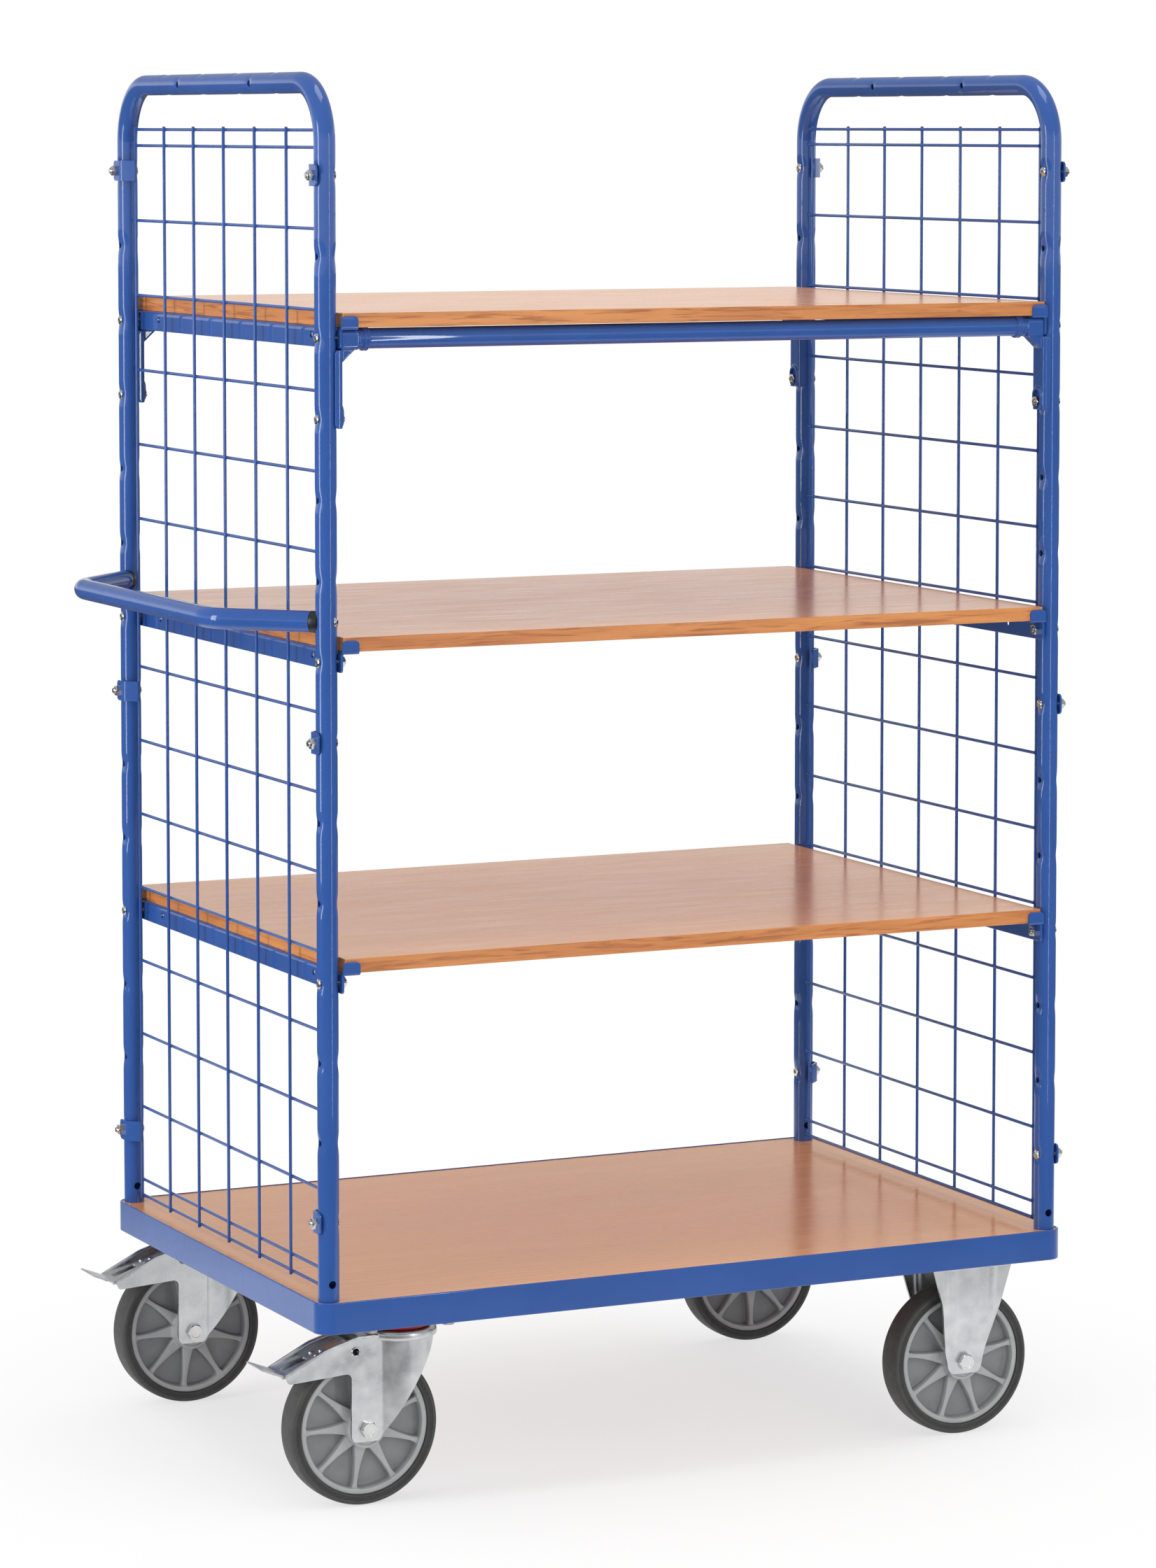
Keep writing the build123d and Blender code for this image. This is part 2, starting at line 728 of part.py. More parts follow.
def fixed_fork(x, y):
    """Plate and two ribbed legs pressed from one sheet."""
    top = caster_height
    under = fixed_plate_bottom
    fork = rounded_plate(*plate_size, plate_corner, under, top, x, y)
    reach = fixed_lean[-1][1]
    for outward, start in ((-1, y - fork_outer - reach), (1, y + fork_inner)):
        sheet = leaning_sheet(x, y, outward, fork_inner, fork_outer)
        fork += sheet & upright_plate(fixed_leg, x, start, fork_plate + reach)
        for slant in (-1, 1):
            fork += flute(x, y, outward, slant)
    for hole_x, hole_y in plate_holes(x, y):
        fork -= rod((hole_x, hole_y, under), (hole_x, hole_y, top), plate_hole)
    through = (x, y - fork_outer, wheel_radius)
    return fork - rod(through, (x, y + fork_outer, wheel_radius), axle_radius + axle_play)


def swivel_plate(x, y):
    """Top plate with the king pin riveted into it."""
    under = caster_height - swivel_plate_thickness
    plate = rounded_plate(*plate_size, plate_corner, under, caster_height, x, y)
    for hole_x, hole_y in plate_holes(x, y):
        plate -= rod((hole_x, hole_y, under), (hole_x, hole_y, caster_height), plate_hole)
    pin_top = disc_bottom - joint_gap
    pin_radius, pin_height = king_pin_head
    plate += rod((x, y, pin_top), (x, y, under), king_pin - running_fit)
    return plate + rod((x, y, pin_top - pin_height), (x, y, pin_top), pin_radius)


def swivel_seal(x, y):
    top = seal_bottom + seal_height
    inner, outer = seal_radii
    ring = rod((x, y, seal_bottom), (x, y, top), outer)
    ring = fillet(ring.edges().group_by(Axis.Z)[0], seal_rounding)
    return ring - rod((x, y, seal_bottom), (x, y, top), inner)


def swivel_fork(x, y):
    """Head disc turning on the king pin, two legs rounded to it and the arms that carry the brake pedal."""
    axle_x = x - trail
    head = rod((x, y, disc_bottom), (x, y, disc_top), head_disc)
    head = fillet(head.edges().group_by(Axis.Z)[-1], head_disc_rounding)
    bridge_low = (axle_x + bridge_span[0], y - fork_outer, disc_bottom)
    bridge_high = (axle_x + bridge_span[1], y + fork_outer, wheel_radius + swivel_crown)
    fork = head + box_between(bridge_low, bridge_high)
    for face in (y - fork_outer, y + fork_inner):
        fork += upright_plate(swivel_leg, axle_x, face, fork_plate)
    low = wheel_radius + wall_foot
    high = wheel_radius + swivel_crown
    wall = rod((x, y, low), (x, y, high), head_disc) - rod((x, y, low), (x, y, high), head_disc - fork_plate)
    wall -= box_between((axle_x + wall_start, y - fork_inner, low), (x, y + fork_inner, high))
    kept = [(axle_x + wall_start, low), (axle_x + wall_end, high), (axle_x + wall_start, high)]
    fork += wall & prism(kept, Plane.XZ.offset(-y), head_disc, both=True)
    fork -= rod((x, y, disc_bottom), (x, y, disc_top), king_pin)
    pivot_x = axle_x + pedal_pivot[0]
    pivot_z = wheel_radius + pedal_pivot[1]
    for low, high in ((y - fork_outer, y - fork_inner), (y + fork_inner, y + fork_outer)):
        fork -= rod((pivot_x, low, pivot_z), (pivot_x, high, pivot_z), pedal_rivet + axle_play)
    through = (axle_x, y - fork_outer, wheel_radius)
    return fork - rod(through, (axle_x, y + fork_outer, wheel_radius), axle_radius + axle_play)


def pedal_rivets(x, y):
    """Two hollow rivets on which the brake pedal turns, one in each arm of the fork."""
    pivot_x = x - trail + pedal_pivot[0]
    pivot_z = wheel_radius + pedal_pivot[1]
    for outward in (-1, 1):
        inner = (pivot_x, y + outward * (pedal_cheek[0] - rivet_inset), pivot_z)
        face = (pivot_x, y + outward * fork_outer, pivot_z)
        rim = (pivot_x, y + outward * (fork_outer + rivet_collar[1]), pivot_z)
        rivet = rod(inner, face, pedal_rivet) + rod(face, rim, pedal_rivet + rivet_collar[0])
        yield rivet - rod(inner, rim, pedal_rivet - rivet_wall)


def brake_pedal(x, y):
    """Sheet channel with a slotted tread, a turned-up end and the shoe that presses on the tyre."""
    axle_x = x - trail
    cheek_inner, cheek_outer = pedal_cheek
    root_x, root_z = pedal_tread[0]
    tip_x, tip_z = pedal_tread[1]
    slope = (root_z - tip_z) / (root_x - tip_x)
    cheek = [pedal_tread[0], *pedal_cheek_edge, pedal_tread[1]]
    sheet = [*pedal_tread, (tip_x, tip_z - pedal_sheet), (root_x, root_z - pedal_sheet)]

    def across(points, half_width):
        placed = [(axle_x + a, wheel_radius + b) for a, b in points]
        return prism(placed, Plane.XZ.offset(-y), half_width, both=True)

    pedal = across(cheek, cheek_outer) - across(cheek, cheek_inner)
    pedal += across(sheet, cheek_outer)
    tab_x = tip_x - pedal_tab_length
    tab_z = tip_z + pedal_tab_rise
    tab = [(tip_x, tip_z), (tab_x, tab_z), (tab_x, tab_z - pedal_sheet), (tip_x, tip_z - pedal_sheet)]
    pedal += across(tab, cheek_outer)
    shoe_top = [(end, root_z + slope * (end - root_x) - shoe_overlap) for end in shoe_span]
    shoe_face = [(end, math.sqrt(wheel_radius**2 - end**2) + shoe_gap) for end in shoe_span]
    pedal += across([*shoe_top, *reversed(shoe_face)], cheek_inner)
    half_slot = pedal_slot_width / 2
    slot_low = (axle_x + pedal_slot[0], y - half_slot, wheel_radius + tip_z - 2 * pedal_sheet)
    slot_high = (axle_x + pedal_slot[1], y + half_slot, wheel_radius + root_z)
    pedal -= box_between(slot_low, slot_high)
    pivot_x = axle_x + pedal_pivot[0]
    pivot_z = wheel_radius + pedal_pivot[1]
    near = (pivot_x, y - fork_inner, pivot_z)
    far = (pivot_x, y + fork_inner, pivot_z)
    return pedal - rod(near, far, pedal_rivet + running_fit)


def caster_plate_bolts():
    for end, side, x, y in caster_places():
        thickness = swivel_plate_thickness if end == "left" else fixed_plate_thickness
        face = caster_height - thickness
        tip = caster_height + channel_wall + plate_nut_height + bolt_end
        for hole_x, hole_y in plate_holes(x, y):
            head = hexagon((hole_x, hole_y, face), (0, 0, -1), plate_bolt_flats, plate_bolt_head)
            yield head + rod((hole_x, hole_y, face), (hole_x, hole_y, tip), plate_bolt_radius)


def caster_plate_nuts():
    face = caster_height + channel_wall
    for end, side, x, y in caster_places():
        for hole_x, hole_y in plate_holes(x, y):
            body = hexagon((hole_x, hole_y, face), (0, 0, 1), plate_bolt_flats, plate_nut_height)
            bore_end = (hole_x, hole_y, face + plate_nut_height)
            yield body - rod((hole_x, hole_y, face), bore_end, plate_bolt_radius + running_fit)


def frame_nodes():
    """Everything that is bolted or welded to the platform."""
    yield "platform_frame", platform_frame()
    yield "deck_board", deck_board()
    for end in ends:
        yield f"{end}_hoop", hoop(end)
        yield f"{end}_mesh", mesh_wall(end)
        yield f"{end}_mesh_clamps", group(mesh_clamps(end))
    yield "clamp_bolts", group(clamp_bolts())
    yield "clamp_nuts", group(clamp_nuts())
    for name, hole in zip(("lower", "middle", "upper"), shelf_holes):
        yield f"{name}_shelf_board", shelf_board(hole)
        for end in ends:
            yield f"{name}_shelf_rail_{end}", shelf_rail(end, hole)
    yield "shelf_bolts", group(shelf_bolts())
    yield "shelf_nuts", group(shelf_nuts())
    for side in sides:
        yield f"{side}_cross_tube", cross_tube(side)
        for end in ends:
            yield f"{side}_{end}_bracket", bracket(end, side)
    yield "push_handle", push_handle()
    yield "handle_spacers", group(handle_spacers())
    yield "handle_bolts", group(handle_bolts())
    yield "caster_plate_bolts", group(caster_plate_bolts())
    yield "caster_plate_nuts", group(caster_plate_nuts())


def caster_nodes():
    """The two swivel casters with brakes at the handle end and the two fixed ones."""
    fixed_axles = []
    seals = []
    for end, side, x, y in caster_places():
        axle_x = x - trail if end == "left" else x
        yield f"{side}_{end}_wheel_rim", wheel_rim(axle_x, y, rolled[f"{side}_{end}"])
        yield f"{side}_{end}_tyre", tyre(axle_x, y)
        if end == "left":
            seals.append(swivel_seal(x, y))
            yield f"{side}_swivel_plate", swivel_plate(x, y)
            yield f"{side}_swivel_fork", swivel_fork(x, y)
            yield f"{side}_axle_bolt", axle_bolt(axle_x, y)
            yield f"{side}_axle_nut", axle_end_nut(axle_x, y)
            yield f"{side}_axle_sleeve", axle_sleeve(axle_x, y)
            yield f"{side}_pedal_rivets", group(pedal_rivets(x, y))
            yield f"{side}_brake_pedal", brake_pedal(x, y)
        else:
            fixed_axles.append((axle_x, y))
            yield f"{side}_fixed_fork", fixed_fork(x, y)
    yield "swivel_seals", group(seals)
    yield "fixed_axle_bolts", group(axle_bolt(*place) for place in fixed_axles)
    yield "fixed_axle_nuts", group(axle_end_nut(*place) for place in fixed_axles)
    yield "fixed_axle_sleeves", group(axle_sleeve(*place) for place in fixed_axles)


os.makedirs("parts", exist_ok=True)
for nodes in (frame_nodes(), caster_nodes()):
    for name, shape in nodes:
        export_step(shape, f"parts/{name}.step")
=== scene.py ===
import json
import math

import bmesh
import bpy
from mathutils import Matrix, Vector


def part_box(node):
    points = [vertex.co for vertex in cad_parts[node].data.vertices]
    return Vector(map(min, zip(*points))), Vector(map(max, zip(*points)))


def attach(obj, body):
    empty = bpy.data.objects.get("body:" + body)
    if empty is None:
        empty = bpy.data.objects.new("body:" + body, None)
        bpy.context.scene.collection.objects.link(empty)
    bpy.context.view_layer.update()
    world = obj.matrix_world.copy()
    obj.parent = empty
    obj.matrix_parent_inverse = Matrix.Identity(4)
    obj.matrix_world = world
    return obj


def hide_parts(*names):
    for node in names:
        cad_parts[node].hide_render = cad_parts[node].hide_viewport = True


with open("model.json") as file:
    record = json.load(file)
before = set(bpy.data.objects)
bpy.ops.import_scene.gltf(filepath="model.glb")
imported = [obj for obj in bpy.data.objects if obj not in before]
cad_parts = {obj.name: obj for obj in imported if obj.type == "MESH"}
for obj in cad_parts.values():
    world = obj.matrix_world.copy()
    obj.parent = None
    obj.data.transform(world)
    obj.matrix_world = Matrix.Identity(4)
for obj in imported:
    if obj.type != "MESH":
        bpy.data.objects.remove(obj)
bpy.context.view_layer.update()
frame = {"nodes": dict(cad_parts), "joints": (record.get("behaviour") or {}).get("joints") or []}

scene = bpy.context.scene
scene.view_settings.view_transform = "Standard"

# Mesh code works in millimetres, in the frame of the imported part
MM = 0.001
x_axis = Vector((1.0, 0.0, 0.0))
y_axis = Vector((0.0, 1.0, 0.0))
z_axis = Vector((0.0, 0.0, 1.0))

# Camera at the photograph's viewing angle: place in metres, angles in degrees, lens in millimetres
camera_place = (-2.98562, -6.38960, 1.73392)
camera_tilt = 85.4362
camera_turn = -25.3443
camera_lens = 122.318
camera_sensor = 36.0
camera_shift = -0.15
camera_far = 200.0

# Roundings: inset of the middle as a share of the radius, and degrees from point to point
arc_inset = 0.3
corner_step = 5.0
rim_step = 22.5
round_step = 15.0

# How far a cutting body reaches past what it cuts, and a gap that keeps two faces apart
overcut = 1.0
sliver = 0.02

# Hoops
tube_wall = 2.5
tube_step = 4.0
tube_sides = 40
hoop_bend = 75.0
hole_pitch = 100.0
holes_per_post = 14
bolt_hole = 4.3
dimple_depth = 2.1
dimple_reach = 9.0
dimple_focus = 3
foot_hole = 5.0
foot_hole_height = 23.0
bar_hole = 125.0
bar_notch = 62.5
bar_dent_depth = 1.6
bar_dent_reach = 6.0
bar_margin = 1.0

# Platform
rim_wall = 3.0
rim_corner = 22.0
rim_rounding = 1.3
ledge_width = 33.0
ledge_levels = (253.0, 256.0)
channel_width = 140.0
channel_wall = 4.0
mount_level = 238.0
stiffener_width = 25.0
stiffener_offset = 150.0

# Mesh walls and their clamps
wire_radius = 2.05
wire_sides = 14
wire_rounding = 0.82
wire_planes = (2.5, 6.1)
mesh_columns = 6
mesh_rows = 15
mesh_first_row = 33.6
mesh_overrun = 4.0
weld_size = (1.9, 2.7, 2.7)
clamp_holes = (1, 7, 14)
clamp_face = -13.7
clamp_thickness = 2.5
clamp_half_height = 13.5
clamp_tail = 10.0
clamp_bend = 12.0
clamp_bend_radii = (4.0, 7.0)
clamp_tip = (1.55, 26.29)
clamp_tip_round = 0.8
clamp_corner = 6.0
clamp_edge = 0.6
clamp_weld = (1.1, 25.6)
clamp_weld_radius = 1.4
clamp_weld_half = 9.0
clamp_weld_sides = 12
clamp_weld_round = 1.0

# Shelves, rails, brackets and cross tubes
shelf_holes = {"lower": 4, "middle": 8, "upper": 12}
lug_hole = 11
board_corner = 2.0
board_rounding = 0.7
upright_limit = 0.8
rail_thickness = 3.0
rail_reach = 36.5
rail_half_depth = 13.0
rail_end = 357.0
rail_end_round = 5.0
rail_hole_place = 78.0
rail_hole_rise = 2.0
rail_edge = 1.0
rail_fold = (2.0, 5.0)
tab_start = 14.0
tab_faces = (359.0, 362.0)
tab_top = 27.5
tab_corner = 6.0
tab_edge = 1.2
tab_fold = (1.5, 4.5)
tab_root = 10.0
bracket_box = (16.5, 40.0)
bracket_half_width = 13.0
bracket_bottom = -14.5
bracket_gap = 0.2
bracket_lap = 2.0
bead_end = 56.0
pipe_lap = 1.0
pipe_step = 20.0
gusset_reach = 38.0
gusset_drop = 16.0
gusset_half_width = 9.0
gusset_lap = 0.5
leg_span = (7.0, 18.0)
leg_half_width = 15.5
leg_corner = 5.0
boss_face = 20.5
boss_half_width = 11.0
boss_span = (-11.0, 19.0)
recess_floor = 16.5
recess_half_width = 8.2
recess_span = (-8.2, 15.0)
oblong_flat = 0.05
post_margin = 9.0
post_sides = 48
coating_grain = 0.8
coating_rounds = 4

# Fasteners
bolt_radius = 4.0
head_seat = 11.4
nut_flats = 13.0
nut_height = 6.5
clamp_nut_face = 16.2
rail_nut_face = 16.5
bolt_end = 2.0
clamp_bolt_end = 3.3
turning_angle = 30.0
turning_share = 0.95
washer_share = 0.94
washer_height = 0.6
washer_step = 0.01
# Hollow in a bolt's head: share of the half width across its flats, and height above its top
head_dish = ((0.8, 0.01), (0.75, -0.25))
shank_chamfer = 1.0
bore_chamfer = 0.6
# Button screws: tip radius and length; seat radius, rim radius and height; crown, run and rise of the dome
screw_tip = (3.2, 0.8)
screw_rim = (6.3, 6.5, 0.4)
screw_dome = (1.5, 5.0, 2.2)
dome_parts = 4
socket_flats = 5.0
socket_chamfer = 0.5
socket_levels = (2.5, 2.3, 0.7)

# Push handle
handle_reach = 110.0
handle_bend = 50.0
handle_screw_sink = 1.0
spacer_span = (8.0, 19.5)
spacer_rounding = 1.2

# Wheels: sizes, radii, and heights from the wheel's middle plane
wheel_radius = 100.0
rolled = {"front_left": 21.0, "rear_left": 24.0, "front_right": 11.0, "rear_right": 30.0}
spoke_count = 9
gap_columns = 4
spoke_height = 14.0
spoke_root = 8.4
spoke_tip = 2.5
spoke_taper = 2.4
spoke_flare = 2.4
flare_power = 16
steepest_sine = 0.9
sector_share = 0.8
sector_step = 0.03
# Painted highlight on the wheel moulding: height above the web where it starts, and the height over which it
# grows to full
highlight_start = 2.0
highlight_span = 8.0
web_height = 3.5
hub_height = 25.5
hub_radius = 25.5
ring_height = 17.5
ring_inner = 79.0
rim_radius = 86.0
bore_radius = 10.05
tyre_half_width = 20.0
# Lip of a tyre: distance outside the rim and depth in its side
tyre_lip = ((0.0, 2.2), (0.4, 0.8), (1.6, 0.0))
tyre_shoulder = 5.5
shoulder_parts = 6
# Crown of a tyre: drop from the tread and half width
tyre_crown = ((0.25, 9.0), (0.05, 4.0))
crown_rise = 0.7
tyre_sides = 120
# Grooves round the side walls
side_grooves = (88.8, 90.2, 91.6, 93.0)
groove_half = 0.45
groove_depth = 0.5

# Casters: sizes, and places as distances from the axle or heights above it
fork_inner = 26.0
fork_outer = 29.5
fork_kink = 6.0
fork_back = 44.0
kink_parts = 5
back_parts = 48
arm_tip = -114.0
arm_top = 119.0
wall_reach = (-20.0, 130.0)
limit_half = 60.0
king_bore = 10.2
head_radius = 49.0
head_levels = (110.5, 122.7)
head_roundings = (4.5, 5.0)
head_sides = 96
saddle_span = (-6.0, 60.0)
saddle_half = 28.0
saddle_rise = 1.5
saddle_drop = 0.4
saddle_corner = 3.0
roll_radius = 2.9
roll_inset = 2.75
roll_bend = 40.0
roll_sides = 16
pressing_edge = 0.5
axle_flats = 19.0
axle_head = 7.5
axle_radius = 6.0
axle_nut_height = 9.5
pedal_half = 25.3
pedal_sheet = 2.5
bump_size = (5.0, 4.0, 3.2)
bump_sink = 1.0
slot_corner = 2.0
slot_reach = (60.0, 120.0)
rivet_bore = 4.3
rivet_drill = 4.9
rivet_depth = 8.0
rivet_sides = 32
seal_radii = (30.0, 41.0)
seal_roundings = (3.0, 1.0)
seal_sides = 72
flute_width = 4.5
fixed_bend = 4.0
fixed_bend_start = 130.0
fixed_bend_rows = (0.0, 1.5, 2.7, 3.6)
fixed_row_step = 4
fixed_columns = 24
plate_level = 133.0
plate_corner = 10.0

# Plate bolts: places about the middle of a caster, and levels in the part's frame
plate_pattern = (52.5, 37.5)
plate_under = {"swivel": 232.0, "fixed": 234.0}
plate_bolt_flats = 16.0
plate_bolt_head = 6.4
plate_bolt_radius = 5.0
plate_bolt_length = 20.0


def span(node):
    """Lowest and highest corner of a CAD node, in millimetres."""
    low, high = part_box(node)
    return low / MM, high / MM


hoop_low, hoop_high = span("left_hoop")
tube_radius = (hoop_high.x - hoop_low.x) / 2
half_y = hoop_high.y - tube_radius
bar_level = hoop_high.z - tube_radius
deck_top = span("deck_board")[1].z
handle_level = sum(corner.z for corner in span("push_handle")) / 2
ends = {}
for end_name, inward_direction in (("left", 1), ("right", -1)):
    ends[end_name] = (sum(corner.x for corner in span(f"{end_name}_hoop")) / 2, inward_direction)
sides = {"front": (-half_y, 1), "rear": (half_y, -1)}
pivots = {joint["child"]: Vector(joint["pos_m"]) / MM for joint in frame["joints"]}


def post_level(hole):
    """Height of a post hole, counted upwards from the deck."""
    return deck_top + hole * hole_pitch


# Mesh tools
def blanks(count):
    """Empty meshes to fill."""
    return [bmesh.new() for index in range(count)]


def skin(mesh, rings, closed=False):
    """Faces between neighbouring rings of points, with both ends capped or joined to each other."""
    rows = [[mesh.verts.new(point) for point in points] for points in rings]
    pairs = list(zip(rows, rows[1:]))
    if closed:
        pairs.append((rows[-1], rows[0]))
    else:
        mesh.faces.new(rows[0][::-1])
        mesh.faces.new(rows[-1])
    for near, far in pairs:
        for index in range(len(near)):
            mesh.faces.new((near[index - 1], near[index], far[index], far[index - 1]))
    return mesh


def facing(origin, direction):
    """Function that places points measured across and along a direction."""
    turn = Vector(direction).to_track_quat("Z", "Y").to_matrix()
    return lambda u, v, w: Vector(origin) + turn @ Vector((u, v, w))


def turned(mesh, put, profile, count=48, closed=False):
    """Body through a profile of radii and heights, each a number or a function of the angle."""
    rings = []
    for radius, height in profile:
        points = []
        for index in range(count):
            angle = 2 * math.pi * index / count
            reach = radius(angle) if callable(radius) else radius
            level = height(angle) if callable(height) else height
            points.append(put(reach * math.cos(angle), reach * math.sin(angle), level))
        rings.append(points)
    return skin(mesh, rings, closed)


def rod(mesh, start, end, radius, count=24, rounding=0.0):
    """Round bar from one point to another, with softened ends if a rounding is given."""
    axis = Vector(end) - Vector(start)
    profile = [(radius, 0.0), (radius, axis.length)]
    if rounding:
        middle = arc_inset * rounding
        steps = ((rounding, 0.0), (middle, middle), (0.0, rounding))
        profile = [(radius - inset, depth) for inset, depth in steps]
        profile += [(radius - inset, axis.length - depth) for inset, depth in reversed(steps)]
    return turned(mesh, facing(start, axis), profile, count)


def in_plan(u, v, w):
    """Outline seen from above."""
    return (u, v, w)


def from_side(u, v, w):
    """Outline seen from the long side of the trolley."""
    return (u, w, v)


def from_end(u, v, w):
    """Outline seen from the end of the trolley."""
    return (w, u, v)


def prism(mesh, outline, low, high, put):
    """Straight bar with this outline, seen in plan, from the side or from the end."""
    return skin(mesh, [[put(u, v, w) for u, v in outline] for w in (low, high)])


def rounded(corners, step=12.0):
    """Outline through these corners, each with its own rounding radius."""
    points = []
    for index, (u, v, radius) in enumerate(corners):
        corner = Vector((u, v))
        if not radius:
            points.append(corner)
            continue
        back = (Vector(corners[index - 1][:2]) - corner).normalized()
        ahead = (Vector(corners[(index + 1) % len(corners)][:2]) - corner).normalized()
        half = back.angle(ahead) / 2
        centre = corner + (back + ahead).normalized() * radius / math.sin(half)
        first = corner + back * radius / math.tan(half) - centre
        last = corner + ahead * radius / math.tan(half) - centre
        start = math.atan2(first.y, first.x)
        sweep = math.atan2(last.y, last.x) - start
        sweep = math.remainder(sweep, 2 * math.pi)
        count = max(2, round(abs(math.degrees(sweep)) / step))
        for part in range(count + 1):
            angle = start + sweep * part / count
            points.append(centre + radius * Vector((math.cos(angle), math.sin(angle))))
    return points


def rectangle(low, high, inset, corner):
    """Rounded rectangle between two corners, drawn in by an inset."""
    left, right = low.x + inset, high.x - inset
    near, far = low.y + inset, high.y - inset
    radius = corner - inset
    places = ((left, near), (right, near), (right, far), (left, far))
    return rounded([(x, y, radius) for x, y in places], corner_step)


def frame_ring(mesh, low, high, corner, profile):
    """Closed rim whose profile of insets and heights follows a rounded rectangle."""
    rings = []
    for inset, height in profile:
        rings.append([(x, y, height) for x, y in rectangle(low, high, inset, corner)])
    return skin(mesh, rings, closed=True)


def bent_route(corners, bend, step):
    """Points and directions along straight runs that are joined by round bends."""
    route = []
    start = corners[0]
    for before, here, after in zip(corners, corners[1:], corners[2:] + [None]):
        ahead = (here - before).normalized()
        finish = here
        if after is not None:
            leave = (after - here).normalized()
            turn = ahead.angle(leave)
            finish = here - ahead * bend * math.tan(turn / 2)
        count = max(1, math.ceil((finish - start).length / step))
        route += [(start.lerp(finish, part / count), ahead) for part in range(count)]
        if after is None:
            route.append((finish, ahead))
            break
        axis = ahead.cross(leave).normalized()
        centre = finish + axis.cross(ahead) * bend
        count = max(3, math.ceil(turn * bend / step))
        for part in range(count):
            swing = Matrix.Rotation(turn * part / count, 3, axis)
            route.append((centre + swing @ (finish - centre), swing @ ahead))
        start = here + leave * bend * math.tan(turn / 2)
    return route


def section(point, direction, across, radius, count, dent):
    """Ring of points round one place of a tube, pushed in by its dents."""
    up = direction.cross(across)
    ring = []
    for index in range(count):
        angle = 2 * math.pi * index / count
        outward = across * math.cos(angle) + up * math.sin(angle)
        ring.append(point + outward * radius + dent(point, outward))
    return ring


def no_dent(point, outward):
    """No push, for a plain tube."""
    return Vector()


def tube(route, across, radius, dent=no_dent):
    """Bent tube with an outer and an inner wall."""
    outer = [section(*place, across, radius, tube_sides, dent) for place in route]
    inner = [section(*place, across, radius - tube_wall, tube_sides, dent) for place in reversed(route)]
    return skin(bmesh.new(), outer + inner, closed=True)


def temporary(mesh):
    """Object that holds a mesh while a modifier works on it."""
    bmesh.ops.recalc_face_normals(mesh, faces=mesh.faces)
    data = bpy.data.meshes.new("temporary")
    mesh.to_mesh(data)
    mesh.free()
    obj = bpy.data.objects.new("temporary", data)
    scene.collection.objects.link(obj)
    return obj


def result(base, *helpers):
    """Mesh of an object with its modifiers done; the objects are dropped."""
    mesh = bmesh.new()
    mesh.from_object(base, bpy.context.evaluated_depsgraph_get())
    for obj in (base, *helpers):
        data = obj.data
        bpy.data.objects.remove(obj)
        bpy.data.meshes.remove(data)
    return mesh


def combine(first, second, operation):
    """Union, difference or intersection of two closed meshes."""
    base = temporary(first)
    tool = temporary(second)
    modifier = base.modifiers.new("combine", "BOOLEAN")
    modifier.operation = operation
    modifier.solver = "MANIFOLD"
    modifier.object = tool
    return result(base, tool)


def unite(first, *others):
    """Union of several closed meshes."""
    for other in others:
        first = combine(first, other, "UNION")
    return first


def melted(mesh, grain, rounds):
    """Closed mesh with soft fillets along every edge, as on a thickly coated casting."""
    base = temporary(mesh)
    remesh = base.modifiers.new("grain", "REMESH")
    remesh.mode = "VOXEL"
    remesh.voxel_size = grain
    smooth = base.modifiers.new("smooth", "SMOOTH")
    smooth.factor = 0.5
    smooth.iterations = rounds
    return result(base)


def piece(name, mesh, slot, body, *nodes, rounding=0.0, sharp=38.0):
    """Object from a mesh in millimetres that rides on a body and stands for CAD nodes."""
    bmesh.ops.recalc_face_normals(mesh, faces=mesh.faces)
    bmesh.ops.scale(mesh, vec=(MM, MM, MM), verts=mesh.verts)
    data = bpy.data.meshes.new(name)
    mesh.to_mesh(data)
    mesh.free()
    for material in looks[slot]:
        data.materials.append(material)
    data.shade_smooth()
    obj = bpy.data.objects.new(name, data)
    scene.collection.objects.link(obj)
    if rounding:
        bevel = obj.modifiers.new("rounding", "BEVEL")
        bevel.width = rounding * MM
        bevel.segments = 2
        bevel.limit_method = "ANGLE"
        bevel.angle_limit = math.radians(sharp)
        bevel.harden_normals = True
    else:
        data.set_sharp_from_angle(angle=math.radians(sharp))
    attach(obj, body)
    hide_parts(*nodes)
    return obj


# Material tools
# Range that holds most of a noise's values
noise_range = (0.3, 0.7)


def colour(red, green, blue):
    """Linear colour from the 0 to 255 values of a screen colour."""
    linear = []
    for value in (red, green, blue):
        share = value / 255
        linear.append(share / 12.92 if share <= 0.04045 else ((share + 0.055) / 1.055) ** 2.4)
    return (*linear, 1.0)


def start_material(name):
    """New material with its node tree and its shader."""
    material = bpy.data.materials.new(name)
    material.use_nodes = True
    return material, material.node_tree, material.node_tree.nodes["Principled BSDF"]


def add(tree, kind, values=None, links=None):
    """New node with constant values and links, both by input name."""
    node = tree.nodes.new(kind)
    for key, value in (values or {}).items():
        node.inputs[key].default_value = value
    for key, socket in (links or {}).items():
        tree.links.new(socket, node.inputs[key])
    return node


def noise(tree, scale, detail=3.0, stretch=(1.0, 1.0, 1.0), distortion=0.0):
    """Noise in the part's own coordinates, squeezed along each axis by a factor."""
    place = add(tree, "ShaderNodeTexCoord").outputs["Object"]
    mapping = add(tree, "ShaderNodeMapping", {"Scale": stretch}, {"Vector": place})
    values = {"Scale": scale, "Detail": detail, "Distortion": distortion}
    return add(tree, "ShaderNodeTexNoise", values, {"Vector": mapping.outputs["Vector"]}).outputs["Fac"]


